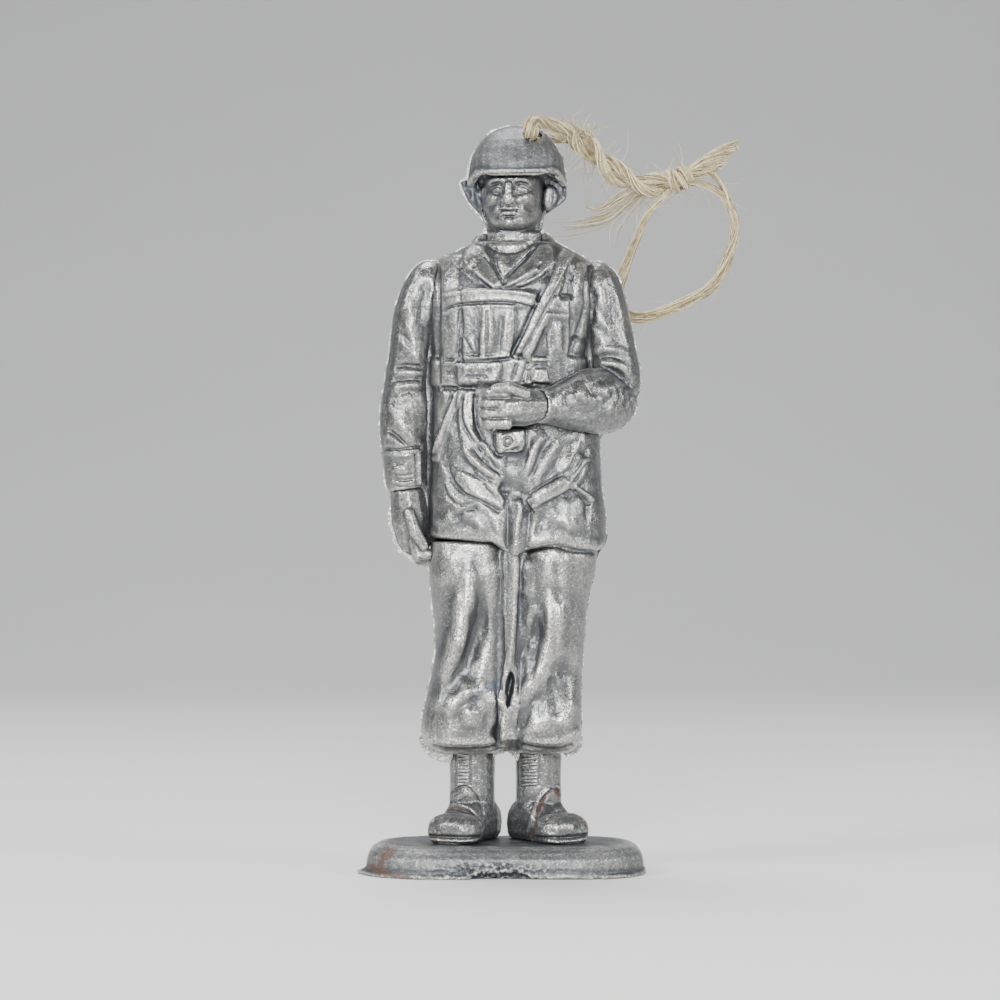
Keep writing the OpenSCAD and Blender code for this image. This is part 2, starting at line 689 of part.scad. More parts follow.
// Rows down an arm: x of the jacket's half width, y of the sleeve's depth, z of the jacket's
// height, half width of the sleeve's width, and front and back depth of the sleeve's depth
function arm_rows(shares) = [
  for (s = shares)
    [s[0] * torso_w / 2, s[1] * sleeve_d, hem_z + s[2] * torso_h,
     s[3] * sleeve_w, s[4] * sleeve_d, s[5] * sleeve_d]
];
right_sleeve_shares = [
  [-0.7, 0.02, 0.918, 0.14, 0.16, 0.18], [-0.745, 0.02, 0.905, 0.32, 0.3, 0.33],
  [-0.82, 0.02, 0.87, 0.44, 0.42, 0.44], [-0.93, 0.03, 0.8, 0.46, 0.46, 0.46],
  [-1, 0.04, 0.73, 0.45, 0.47, 0.46], [-1.045, 0.05, 0.62, 0.44, 0.47, 0.46],
  [-1.08, 0.04, 0.53, 0.46, 0.5, 0.47], [-1.105, 0, 0.44, 0.5, 0.5, 0.48],
  [-1.11, -0.02, 0.35, 0.5, 0.5, 0.48], [-1.095, -0.02, 0.31, 0.48, 0.48, 0.46]
];
right_cuff_shares = [
  [-1.095, -0.02, 0.31, 0.5, 0.5, 0.48], [-1.085, -0.02, 0.29, 0.475, 0.47, 0.45],
  [-1.08, -0.02, 0.24, 0.465, 0.45, 0.43], [-1.075, -0.02, 0.19, 0.44, 0.42, 0.4],
  [-1.07, -0.02, 0.175, 0.41, 0.4, 0.38]
];
left_upper_sleeve_shares = [
  [0.97, 0.02, 0.915, 0.14, 0.16, 0.18], [1.02, 0.02, 0.9, 0.34, 0.32, 0.34],
  [1.07, 0.02, 0.865, 0.47, 0.43, 0.45], [1.13, 0.02, 0.8, 0.49, 0.47, 0.47],
  [1.2, 0.02, 0.71, 0.49, 0.48, 0.47], [1.265, 0, 0.62, 0.49, 0.48, 0.47],
  [1.315, -0.03, 0.55, 0.47, 0.47, 0.46], [1.32, -0.05, 0.5, 0.42, 0.42, 0.42],
  [1.3, -0.06, 0.46, 0.26, 0.28, 0.28]
];
left_forearm_shares = [
  [1.42, -0.02, 0.5, 0.2, 0.2, 0.2], [1.36, -0.04, 0.492, 0.48, 0.4, 0.4],
  [1.24, -0.2, 0.476, 0.62, 0.46, 0.46], [1.12, -0.38, 0.47, 0.66, 0.46, 0.46],
  [0.96, -0.56, 0.464, 0.64, 0.44, 0.44], [0.8, -0.74, 0.457, 0.56, 0.4, 0.4],
  [0.64, -0.9, 0.45, 0.44, 0.36, 0.36], [0.5, -1.03, 0.447, 0.35, 0.31, 0.31],
  [0.43, -1.09, 0.446, 0.34, 0.3, 0.3], [0.42, -1.1, 0.446, 0.29, 0.26, 0.26]
];
right_arm_fold_shares = [
  [-1.2, 0.56, -0.9, 0.55, -1], [-1.2, 0.6, -0.9, 0.62, 0.9], [-1.2, 0.5, -0.85, 0.56, 0.9],
  [-1.1, 0.8, -0.95, 0.62, 0.7], [-1.2, 0.4, -1, 0.34, 0.6], [-0.9, 0.86, -0.85, 0.7, -0.6]
];
left_arm_fold_shares = [
  [1.1, 0.86, 1.02, 0.66, 0.8], [1.25, 0.74, 1.1, 0.62, 0.8], [1.36, 0.6, 1.1, 0.58, 1],
  [1.42, 0.54, 1.15, 0.545, -0.9], [1.3, 0.5, 0.95, 0.535, 1], [1.25, 0.43, 0.9, 0.5, 0.8],
  [0.7, 0.49, 0.66, 0.42, 0.6], [1.2, 0.9, 1.18, 0.78, 0.6]
];
right_arm_folds = folds_on(right_arm_fold_shares, torso_foot, torso_w, torso_h, sleeve_fold_w,
                           sleeve_fold);
left_arm_folds = folds_on(left_arm_fold_shares, torso_foot, torso_w, torso_h, sleeve_fold_w,
                          sleeve_fold);

// A thin web of plastic joins the hanging arm to the body. It starts inside the arm.
arm_web_t = 0.9;
arm_web_shares = [-1.05, -0.72];
// Heights between which the web runs on the sleeve and on its cuff, of the jacket's height
sleeve_web_shares = [0.34, 0.8];
cuff_web_shares = [0.2, 0.29];

module arm_web(z_shares) {
  half_w = torso_w / 2;
  translate([arm_web_shares[0] * half_w, -arm_web_t / 2, hem_z + z_shares[0] * torso_h])
    cube([(arm_web_shares[1] - arm_web_shares[0]) * half_w, arm_web_t,
          (z_shares[1] - z_shares[0]) * torso_h]);
}

module right_sleeve() {
  color(silver) difference() {
    union() {
      skin(limb(smooth(arm_rows(right_sleeve_shares), 2), arm_squareness, arm_n,
                right_arm_folds, right_arm_folds));
      arm_web(sleeve_web_shares);
    }
    torso(right_cuff_z - sleeve_w);
    belt_bulk();
  }
}
right_cuff_z = arm_rows(right_cuff_shares)[0][2];

module right_cuff_form() {
  skin(limb(smooth(arm_rows(right_cuff_shares), 2), arm_squareness, arm_n));
}

module right_cuff() {
  color(silver) difference() {
    union() {
      right_cuff_form();
      arm_web(cuff_web_shares);
    }
    torso(0, right_cuff_z + sleeve_w);
  }
}

module left_upper_sleeve_form() {
  skin(limb(smooth(arm_rows(left_upper_sleeve_shares), 2), arm_squareness, arm_n,
            left_arm_folds, left_arm_folds));
}

module left_upper_sleeve() {
  color(silver) difference() {
    left_upper_sleeve_form();
    torso(elbow_z - sleeve_w);
    belt_bulk();
  }
}
elbow_z = arm_rows(left_forearm_shares)[0][2];

module left_forearm_form() {
  skin(limb(smooth(arm_rows(left_forearm_shares), 2), arm_squareness, arm_n, left_arm_folds));
}

module left_forearm() {
  color(silver) difference() {
    left_forearm_form();
    torso(elbow_z - 2 * sleeve_w, elbow_z + 2 * sleeve_w);
    left_upper_sleeve_form();
    belt_bulk();
  }
}

// Hands: places are shares of the finger's diameter, counted from the end of the sleeve

finger_facets = 8;
palm_facets = 12;
fingertip_share = 0.85;
spread_share = 0.78;

module bone(a, b, da, db, facets) {
  hull() {
    translate(a) sphere(d = da, $fn = facets);
    translate(b) sphere(d = db, $fn = facets);
  }
}

module finger(shares, at = [0, 0, 0]) {
  bone((shares[0] + at) * finger_d, (shares[1] + at) * finger_d,
       finger_d, finger_d, finger_facets);
  bone((shares[1] + at) * finger_d, (shares[2] + at) * finger_d,
       finger_d, fingertip_share * finger_d, finger_facets);
}

// Palm rows are x, y, z and diameter
module palm(shares) {
  for (i = [0:len(shares) - 2])
    bone(place(shares[i]) * finger_d, place(shares[i + 1]) * finger_d,
         shares[i][3] * finger_d, shares[i + 1][3] * finger_d, palm_facets);
}

// The four fingers are spread along the axis given
module fingers(shares, along, back_off) {
  for (i = [-1.5:1:1.5])
    finger(shares, along * i * spread_share + back_off * (abs(i) * (1 - fingertip_share)));
}

right_wrist = place(arm_rows(right_cuff_shares)[len(right_cuff_shares) - 1]);
left_wrist = place(arm_rows(left_forearm_shares)[len(left_forearm_shares) - 1]);
right_palm_shares = [[0, 0, -0.6, 3], [0.25, -0.05, -2.4, 3.3], [0.5, 0, -3.9, 2.9]];
right_finger_shares = [[0.45, 0, -4.2], [0.8, -0.1, -5.45], [1.75, -0.2, -5.4]];
right_thumb_shares = [[0.1, -1.4, -1.9], [0.6, -1.8, -3.4], [1.3, -1.55, -4.6]];
left_palm_shares = [[0, 0.1, 0, 2.4], [-1.5, -0.15, -0.1, 3], [-2.6, -0.35, -0.2, 2.8]];
left_finger_shares = [[-2.8, -1.15, -0.2], [-4.1, -0.9, -0.2], [-4.5, 0, -0.2]];
left_thumb_shares = [[-1.1, -1.1, 0.9], [-2.4, -1.35, 1.4], [-3.5, -1.1, 1.3]];

module right_hand() {
  color(silver) difference() {
    translate(right_wrist) {
      palm(right_palm_shares);
      fingers(right_finger_shares, [0, 1, 0], [0, 0, 1]);
      finger(right_thumb_shares);
    }
    right_cuff();
    torso(0, right_cuff_z);
    leg(-1, right_leg_shares, right_leg_middle_share, right_leg_fold_shares);
  }
}

// The left hand closes over the sling
module left_hand() {
  color(silver) difference() {
    translate(left_wrist) {
      palm(left_palm_shares);
      fingers(left_finger_shares, [0, 0, 1], [1, 0, 0]);
      finger(left_thumb_shares);
    }
    left_forearm_form();
    torso(elbow_z - 2 * sleeve_w, elbow_z + 2 * sleeve_w);
    belt_bulk();
    draped(path_on(right_leg_strap_shares, strap_w), strap_t);
    draped(path_on(sling_end_shares, sling_end_w), sling_end_t);
  }
}

// Head

head_x_share = 0.07;
head_x = head_x_share * torso_w;
head_squareness = 2.2;
// Points across the face are closer together than round the back
face_n = 18;
nape_n = 8;
head_turns = concat([for (i = [0:face_n - 1]) 180 + 180 * i / face_n],
                    [for (i = [0:nape_n - 1]) 180 * i / nape_n]);
// Rows up the head from the chin: height of the face's, half width of the face's width, and
// front and back depth of the head's depth
head_shares = [
  [-0.2, 0.41, 0.24, 0.3], [-0.06, 0.41, 0.24, 0.3], [-0.01, 0.32, 0.35, 0.3],
  [0.03, 0.36, 0.42, 0.31], [0.1, 0.4, 0.45, 0.33], [0.2, 0.43, 0.455, 0.36],
  [0.3, 0.45, 0.455, 0.4], [0.4, 0.468, 0.455, 0.43], [0.5, 0.48, 0.455, 0.46],
  [0.6, 0.49, 0.455, 0.48], [0.7, 0.497, 0.455, 0.49], [0.8, 0.5, 0.46, 0.5],
  [0.9, 0.5, 0.465, 0.5], [1, 0.5, 0.465, 0.5], [1.25, 0.46, 0.42, 0.46]
];
// Rows of a face feature, placed by the usual proportions of a face: x of the half width, z of
// the face's height, breadth and height of the same, and how far it stands out, of the depth
face_shares = [
  [0, 0.83, 0.13, 0.13, 0.025], [0, 0.68, 0.13, 0.13, 0.05], [0, 0.53, 0.17, 0.09, 0.08],
  [0.2, 0.5, 0.12, 0.065, 0.03], [-0.2, 0.5, 0.12, 0.065, 0.03],
  [0.42, 0.77, 0.2, 0.09, -0.05], [-0.42, 0.77, 0.2, 0.09, -0.05],
  [0.42, 0.92, 0.34, 0.06, 0.025], [-0.42, 0.92, 0.34, 0.06, 0.025],
  [0.42, 0.77, 0.13, 0.055, 0.03], [-0.42, 0.77, 0.13, 0.055, 0.03],
  [0.55, 0.56, 0.24, 0.13, 0.02], [-0.55, 0.56, 0.24, 0.13, 0.02],
  [0, 0.36, 0.3, 0.04, 0.03], [0, 0.315, 0.3, 0.028, -0.02], [0, 0.265, 0.26, 0.045, 0.03],
  [0, 0.19, 0.3, 0.05, -0.02], [0, 0.09, 0.3, 0.09, 0.03]
];

function face_lift(x, z) = total([
  for (f = face_shares)
    f[4] * head_d * exp(-pow((x - f[0] * face_w / 2) / (f[2] * face_w / 2), 2)
                        - pow((z - f[1] * face_h) / (f[3] * face_h), 2))
]);

function head_ring(s) = [
  for (a = head_turns)
    let (c = spow(cos(a), 2 / head_squareness), v = spow(sin(a), 2 / head_squareness),
         x = s[1] * face_w * c, z = s[0] * face_h)
    [x, (v < 0 ? s[2] : s[3]) * head_d * v - (v < 0 ? face_lift(x, z) * min(1, -2 * v) : 0), z]
];

// The neck stands on the jacket, and the chin comes down in front of it
neck_front_share = 0.42;
neck_rise_share = 0.25;

module neck() {
  neck_top_z = chin_z + neck_rise_share * face_h;
  skin(column([for (z = [neck_z, neck_top_z])
                 [head_x, 0, z, neck_w / 2, neck_w * neck_front_share, neck_w / 2]],
              head_squareness, arm_n));
}

// Ears are flattened beads at the sides: place and size of the face's and the head's
ear_share = [0.51, 0.03, 0.58];
ear_size_share = [0.07, 0.1, 0.17];

module ear(side) {
  translate([side * ear_share.x * face_w, ear_share.y * head_d, ear_share.z * face_h])
    skin([
      for (a = [-70:35:70])
        [for (b = turns(shaft_n / 2))
          [ear_size_share.x * face_w * cos(a) * cos(b), ear_size_share.y * head_d * cos(a) * sin(b),
           ear_size_share.z * face_h * sin(a)]]
    ]);
}

// Webs of plastic behind the ears join the head, the neck and the helmet's edge: x of the
// face's half width, z of its height
head_web_t = 0.5;
head_web_shares = [
  [-1.2, 0.8], [-1.6, 0.8], [-1.7, 0.76], [-1.58, 0.66], [-1.28, 0.45], [-1, 0.26],
  [-0.88, 0.03], [0.88, 0.03], [0.95, 0.29], [1.4, 0.49], [1.64, 0.6], [1.64, 0.69],
  [1.5, 0.77], [1.2, 0.8]
];

module head_web() {
  translate([head_x, head_web_t / 2, chin_z]) rotate([90, 0, 0])
    linear_extrude(head_web_t)
      polygon([for (s = head_web_shares) [s[0] * face_w / 2, s[1] * face_h]]);
}

module head_form() {
  neck();
  head_web();
  translate([head_x, 0, chin_z]) rotate([0, 0, -head_turn]) {
    skin([for (s = smooth(head_shares, 2)) head_ring(s)]);
    for (side = [-1, 1]) ear(side);
  }
}

module head() {
  color(silver) difference() {
    head_form();
    helmet_form();
  }
}

// Helmet: a solid cap with a shallow recess inside its lip

helmet_x_share = 0.085;
helmet_y_share = 0.02;
helmet_x = helmet_x_share * torso_w;
helmet_y = helmet_y_share * helmet_d;
helmet_n = 30;
helmet_squareness = 2.15;
// Rows from the rim to the crown: height of the dome's, and size of the helmet's
dome_shares = [
  [0, 1.045], [0.06, 1.06], [0.1, 1.035], [0.2, 1.025], [0.29, 1], [0.405, 0.955],
  [0.54, 0.875], [0.685, 0.76], [0.81, 0.62], [0.905, 0.46], [0.968, 0.27], [1, 0.08]
];
// The recess goes up this share of the dome's height
recess_share = 0.12;
// The rim drops from its front height to the sides between these angles from the front
rim_front_angle = 42;
rim_side_angle = 80;

// How much of the drop the rim has at an angle round the helmet
function rim_drop(a) =
  let (off = abs(a - 270), from_front = min(off, 360 - off),
       t = max(0, min(1, (from_front - rim_front_angle) / (rim_side_angle - rim_front_angle))))
  t * t * (3 - 2 * t);

function dome_ring(up_share, size_share, inset) = [
  for (a = turns(helmet_n))
    let (low = brim_z - helmet_drop * rim_drop(a),
         c = spow(cos(a), 2 / helmet_squareness), v = spow(sin(a), 2 / helmet_squareness))
    [helmet_x + (size_share * helmet_w / 2 - inset) * c,
     helmet_y + (size_share * helmet_d / 2 - inset) * v,
     low + up_share * (brim_z + dome_h - low)]
];

module helmet_form() {
  skin(concat(
    [dome_ring(recess_share, dome_shares[0][1], 2 * helmet_wall),
     dome_ring(recess_share, dome_shares[0][1], helmet_wall),
     dome_ring(0, dome_shares[0][1], helmet_wall)],
    [for (s = dome_shares) dome_ring(s[0], s[1], 0)]));
}

// The hole for the twine runs through the crown from front to back
hole_r = strand_d / 2 + hole_clearance;
hole_x_share = 0.14;
hole_z_share = 0.777;

module helmet() {
  color(silver) difference() {
    helmet_form();
    translate([helmet_x + hole_x_share * helmet_w, helmet_y, brim_z + hole_z_share * dome_h])
      rotate([90, 0, 0])
        cylinder(r = hole_r, h = helmet_d + 2 * overrun, center = true, $fn = 32);
  }
}

// Twine: its routes are rows of x, y, z and radius share

twine_n = 8;
eye_route = [
  [5.6, -0.6, 59.1, 1], [4.8, -0.9, 59.4, 1], [4, -1.5, 59.55, 1], [3.2, -2.35, 59.65, 1],
  [2.6, -3.15, 59.65, 1], [2.3, -3.62, 59.3, 1], [2.25, -3.5, 58.85, 1],
  [2.25, -2.85, 58.68, 1], [2.25, 0, 58.68, 1], [2.25, 2.6, 58.68, 1], [2.4, 3.55, 58.8, 1],
  [3.2, 3.8, 59, 1], [4.2, 2.8, 59.05, 1], [5, 1.6, 58.9, 1], [5.6, 0.6, 58.8, 1]
];
cord_route = [
  [5.4, 0, 59.2, 0.8], [6.1, 0, 58.6, 1], [7.8, 0, 57, 1], [9.5, 0, 55.6, 1],
  [11.3, 0, 54.9, 1], [13, 0, 55.1, 1]
];
tail_route = [
  [15, 0, 55.7, 0.62], [16.2, 0, 56.6, 0.7], [17.6, 0, 57.4, 0.5], [18.9, 0, 57.9, 0.15]
];
loop_route = [
  [14.9, -0.3, 55.1, 1], [16.4, -0.4, 54.8, 1], [17.9, -0.5, 53.7, 1], [18.6, -0.6, 51.5, 1],
  [18, -0.4, 48.9, 1], [16.8, 0, 46.9, 1], [15, 0.4, 45.7, 1], [13, 0.9, 44.8, 1],
  [11, 1.9, 44.4, 1], [9.6, 2.9, 45, 1], [9.4, 2.9, 46.4, 1], [9.9, 2, 48.3, 1],
  [10.9, 1, 50.9, 1], [11.9, 0.4, 52.9, 1], [13.3, 0, 54.3, 1]
];
knot_place = [14.1, 0, 55.3];
knot_turn = 20;
knot_l = 1.35 * twine_d;
knot_w = 1.1 * twine_d;

module knot_form() {
  translate(knot_place) rotate([0, -knot_turn, 0])
    skin([
      for (a = [-75:25:75])
        [for (b = turns(twine_n))
          [knot_l / 2 * sin(a), knot_w / 2 * cos(a) * cos(b), knot_w / 2 * cos(a) * sin(b)]]
    ]);
}

module cord_form() {
  tube(cord_route, twine_d / 2, twine_n);
}

module twine_eye() {
  color(flax) difference() {
    tube(eye_route, strand_d / 2, twine_n);
    cord_form();
  }
}

module twine_cord() {
  color(flax) difference() {
    cord_form();
    knot_form();
  }
}

module twine_knot() {
  color(flax) knot_form();
}

module twine_tail() {
  color(flax) difference() {
    tube(tail_route, twine_d / 2, twine_n);
    knot_form();
  }
}

module twine_loop() {
  color(flax) difference() {
    tube(loop_route, loop_d / 2, twine_n);
    knot_form();
    cord_form();
  }
}

base_plate();
right_boot();
left_boot();
right_trouser_leg();
left_trouser_leg();
inseam_web();
jacket();
belt();
belt_buckle();
right_pocket();
left_pocket();
left_pocket_flap();
chest_strap();
right_shoulder_strap();
left_shoulder_strap();
sling_strap();
sling_end();
right_leg_strap();
left_leg_strap();
right_collar();
left_collar();
shirt_neck();
right_sleeve();
right_cuff();
right_hand();
left_upper_sleeve();
left_forearm();
left_hand();
head();
helmet();
twine_eye();
twine_cord();
twine_knot();
twine_tail();
twine_loop();
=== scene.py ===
import math

import bmesh
import bpy
import numpy as np
from mathutils import Matrix, Vector
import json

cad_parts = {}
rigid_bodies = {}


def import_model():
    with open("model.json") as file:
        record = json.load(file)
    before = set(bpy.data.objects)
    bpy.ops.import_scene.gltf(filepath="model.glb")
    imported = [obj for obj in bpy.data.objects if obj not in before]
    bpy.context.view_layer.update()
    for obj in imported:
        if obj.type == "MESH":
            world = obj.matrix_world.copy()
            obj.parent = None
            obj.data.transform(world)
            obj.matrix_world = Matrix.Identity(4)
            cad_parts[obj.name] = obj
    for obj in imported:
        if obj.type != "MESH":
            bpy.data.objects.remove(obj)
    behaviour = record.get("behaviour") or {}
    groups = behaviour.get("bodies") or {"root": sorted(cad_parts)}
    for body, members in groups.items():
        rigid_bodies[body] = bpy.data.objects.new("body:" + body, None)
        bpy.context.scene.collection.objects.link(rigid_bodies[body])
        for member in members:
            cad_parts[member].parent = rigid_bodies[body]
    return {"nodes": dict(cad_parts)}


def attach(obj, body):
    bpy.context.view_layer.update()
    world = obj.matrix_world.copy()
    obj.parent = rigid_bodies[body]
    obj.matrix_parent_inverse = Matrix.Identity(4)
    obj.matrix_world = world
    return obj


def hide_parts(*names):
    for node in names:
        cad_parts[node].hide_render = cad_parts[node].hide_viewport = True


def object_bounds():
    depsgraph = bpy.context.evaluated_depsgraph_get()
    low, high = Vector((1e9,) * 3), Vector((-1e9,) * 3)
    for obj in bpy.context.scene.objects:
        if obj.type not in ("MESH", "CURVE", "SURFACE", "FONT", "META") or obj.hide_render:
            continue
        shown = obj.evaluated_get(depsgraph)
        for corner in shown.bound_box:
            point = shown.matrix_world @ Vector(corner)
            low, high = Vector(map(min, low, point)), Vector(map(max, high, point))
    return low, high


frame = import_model()
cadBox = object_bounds()
metre = 0.001  # shapes are worked in millimetres and scaled when they are stored

# Camera, floor and light

photoView = {
    "pixelMm": 0.08,  # at the middle of the figure's depth
    "middlePx": 500.0,
    "distanceMm": 270.0,
    "acrossMm": -0.16,
    "heightMm": 29.7,
    "sensorMm": 36.0,
}

studio = {
    "floorColour": (0.72, 0.72, 0.71),
    "skyColour": (0.80, 0.84, 0.92),
    "skyStrength": 0.22,
    "floorHalfMm": 900.0,
    "sweepStartMm": 260.0,
    "sweepRadiusMm": 260.0,
    "sweepSteps": 24,
    "aim": (0, 0, 0.03),  # what the lights point at, in metres
    # place in mm, watts, and size in mm: above the camera, at both sides, and overhead
    "lights": {
        "frontBox": ((-20.0, -330.0, 120.0), 1.7, 150.0),
        "leftBox": ((-260.0, -170.0, 190.0), 0.9, 110.0),
        "rightBox": ((270.0, -150.0, 130.0), 0.7, 110.0),
        "topBox": ((-30.0, 90.0, 330.0), 1.2, 160.0),
    },
}


def linked(name, data):
    thing = bpy.data.objects.new(name, data)
    bpy.context.scene.collection.objects.link(thing)
    return thing


def aimed(thing, target):
    thing.rotation_euler = (Vector(target) - thing.location).to_track_quat("-Z", "Y").to_euler()


def makeCamera():
    camera = linked("camera", bpy.data.cameras.new("camera"))
    place = (photoView["acrossMm"], -photoView["distanceMm"], photoView["heightMm"])
    camera.location = Vector(place) * metre
    camera.rotation_euler = (math.radians(90), 0, 0)
    widthMm = 2 * photoView["middlePx"] * photoView["pixelMm"]
    camera.data.sensor_width = photoView["sensorMm"]
    camera.data.lens = photoView["sensorMm"] * photoView["distanceMm"] / widthMm
    camera.data.clip_start = 0.01
    camera.data.clip_end = 10
    bpy.context.scene.camera = camera


def photoSpots(points):  # where points in mm fall in the photograph's frame
    near = photoView["distanceMm"] / (photoView["distanceMm"] + points[:, 1])
    across = (points[:, 0] - photoView["acrossMm"]) * near / photoView["pixelMm"]
    up = (points[:, 2] - photoView["heightMm"]) * near / photoView["pixelMm"]
    return np.stack([photoView["middlePx"] + across, photoView["middlePx"] - up], 1)


makeCamera()
print("camera placed")

# Small tools for points, lines and skins

skinTools = {
    "pull": 0.55,  # how far a round of smoothing moves a point to its neighbours, and back
    "push": 0.58,
    "splitFacing": 0.2,  # faces that look at the camera more than this are split in four
    "splitRounds": 2,
    "carveFacing": 0.06,  # strokes start to show where the skin looks this much their way
    "narrowRounds": 6,  # how wide and how deep the creases are that the material marks
    "narrowMm": 0.05,
    "broadMm": 0.16,
    "facingSheenRounds": 3,
}


def curved(path, steps=6):  # a smooth line through given points
    path = np.array(path, float)
    ends = np.vstack([2 * path[0] - path[1], path, 2 * path[-1] - path[-2]])
    t = np.linspace(0, 1, steps, endpoint=False)[:, None]
    runs = []
    for a, b, c, d in zip(ends[:-3], ends[1:-2], ends[2:-1], ends[3:]):
        runs.append(0.5 * (2 * b + (c - a) * t + (2 * a - 5 * b + 4 * c - d) * t ** 2
                           + (3 * b - a - 3 * c + d) * t ** 3))
    return np.vstack(runs + [path[-1:]])


def spaced(path, count):  # the same line at even steps
    lengths = np.r_[0, np.cumsum(np.linalg.norm(np.diff(path, axis=0), axis=1))]
    wanted = np.linspace(0, lengths[-1], count)
    return np.stack([np.interp(wanted, lengths, path[:, k]) for k in range(path.shape[1])], 1)


def lineLength(path):
    return float(np.linalg.norm(np.diff(path, axis=0), axis=1).sum())


def eased(x):
    x = np.clip(x, 0, 1)
    return x * x * (3 - 2 * x)


def waves(points, sizeMm, seed, count=22):  # a smooth random field, about -1 to 1
    dice = np.random.default_rng(seed)
    ways = dice.normal(size=(count, points.shape[1]))
    ways /= np.linalg.norm(ways, axis=1)[:, None]
    turns = 2 * math.pi / sizeMm * dice.uniform(0.6, 1.7, count)
    starts = dice.uniform(0, 2 * math.pi, count)
    return np.sin(points @ (ways * turns[:, None]).T + starts).sum(1) / math.sqrt(count)


def fromLine(spots, path):  # distance, share along and side of each spot from a drawn line
    best = np.full(len(spots), 1e9)
    share = np.zeros(len(spots))
    side = np.zeros(len(spots))
    lengths = np.linalg.norm(np.diff(path, axis=0), axis=1)
    total, done = max(lengths.sum(), 1e-9), 0.0
    for a, b, length in zip(path[:-1], path[1:], lengths):
        run = b - a
        off = spots - a
        t = np.clip(off @ run / max(length ** 2, 1e-12), 0, 1)
        gap = off - t[:, None] * run
        d = np.hypot(gap[:, 0], gap[:, 1])
        closer = d < best
        best = np.where(closer, d, best)
        share = np.where(closer, (done + t * length) / total, share)
        side = np.where(closer, np.sign(run[0] * gap[:, 1] - run[1] * gap[:, 0]), side)
        done += length
    return best, share, side


def insideOf(spots, outline):
    inside = np.zeros(len(spots), bool)
    for a, b in zip(outline, np.roll(outline, -1, axis=0)):
        crosses = (a[1] > spots[:, 1]) != (b[1] > spots[:, 1])
        slope = (b[0] - a[0]) / (b[1] - a[1] if a[1] != b[1] else 1e-9)
        inside ^= crosses & (spots[:, 0] < a[0] + (spots[:, 1] - a[1]) * slope)
    return inside


# One stroke of the sculptor's tool: kind, height in mm, width in photograph pixels, path.
# fold swells and fades at its ends, line keeps its height, band is flat-topped,
# patch fills an outline, lap is the edge of cloth lying over cloth, raised on its right hand.


def strokeLift(kind, height, width, path, spots):
    lift = np.zeros(len(spots))
    path = np.array(path, float)
    if kind != "patch":
        path = curved(path, 5) if len(path) > 2 else path
    margin = 3 * width + 3
    low, high = path.min(0) - margin, path.max(0) + margin
    near = np.flatnonzero(((spots > low) & (spots < high)).all(1))
    if not len(near):
        return lift
    here = spots[near]
    if kind == "patch":
        away, _, _ = fromLine(here, np.vstack([path, path[:1]]))
        away = np.where(insideOf(here, path), -away, away)
        lift[near] = height * eased(0.5 - away / (2 * width))
        return lift
    away, share, side = fromLine(here, path)
    ends = np.minimum(share, 1 - share)
    if kind == "fold":
        lift[near] = height * np.exp(-(away / width) ** 2) * eased(ends / 0.3)
    elif kind == "line":
        lift[near] = height * np.exp(-(away / width) ** 2) * eased(ends / 0.06)
    elif kind == "band":
        lift[near] = height * eased(0.5 - (away - width / 2) / 2.4)
    elif kind == "lap":
        over = np.exp(-away / width) * eased(away / 1.2)
        under = -0.5 * np.exp(-(away / 1.6) ** 2)
        lift[near] = height * np.where(side > 0, over, under) * eased(ends / 0.12)
    return lift


def readValues(rows, what, width, kind=np.float32):  # one value of each vertex, edge or face
    values = np.empty(len(rows) * width, kind)
    rows.foreach_get(what, values)
    return values.reshape(-1, width)


def readPoints(mesh):
    return readValues(mesh.vertices, "co", 3).astype(float)


def readNormals(mesh):
    return readValues(mesh.vertex_normals, "vector", 3).astype(float)


def readEdges(mesh):
    return readValues(mesh.edges, "vertices", 2, np.int32)


def writePoints(mesh, points):
    mesh.vertices.foreach_set("co", points.astype(np.float32).ravel())
    mesh.update()


def addLayer(mesh, name, values):  # a number at each point, for the materials to read
    layer = mesh.attributes.new(name, "FLOAT", "POINT")
    layer.data.foreach_set("value", np.asarray(values, np.float32))


def nodeShape(name):  # a CAD node's points in mm and its triangles
    mesh = frame["nodes"][name].data
    mesh.calc_loop_triangles()
    corners = readValues(mesh.loop_triangles, "vertices", 3, np.int32)
    return readPoints(mesh) / metre, corners.tolist()


def joined(shapes):  # the points and faces of several shapes as one
    points, faces, count = [], [], 0
    for corners, some in shapes:
        faces += [[c + count for c in f] for f in some]
        points.append(corners)
        count += len(corners)
    return np.concatenate(points), faces


def prism(rows):  # a four-sided bar from two outer and two inner edges
    count = len(rows[0])
    corners = np.stack([rows[0], rows[1], rows[3], rows[2]], 1).reshape(-1, 3)
    faces = []
    for m in range(count - 1):
        for a in range(4):
            b = (a + 1) % 4
            faces.append([4 * m + a, 4 * m + b, 4 * m + b + 4, 4 * m + a + 4])
    faces.append([3, 2, 1, 0])
    faces.append([4 * (count - 1) + a for a in range(4)])
    return corners, faces


def inPlace(px, depth):  # the point in mm that shows at a photograph pixel at some depth
    scale = (photoView["distanceMm"] + depth) / photoView["distanceMm"] * photoView["pixelMm"]
    x = photoView["acrossMm"] + (px[:, 0] - photoView["middlePx"]) * scale
    z = photoView["heightMm"] + (photoView["middlePx"] - px[:, 1]) * scale
    return np.stack([x, depth, z], 1)


# a solid fill between forms: rows of photograph y, left x, right x and the front's depth in mm
def fillBetween(rows, backMm=0.4):
    y, left, right, depth = np.array(rows, float).T
    back = np.full(len(y), backMm)
    return prism([inPlace(np.stack([x, y], 1), where)
                  for x in (left, right) for where in (depth, back)])


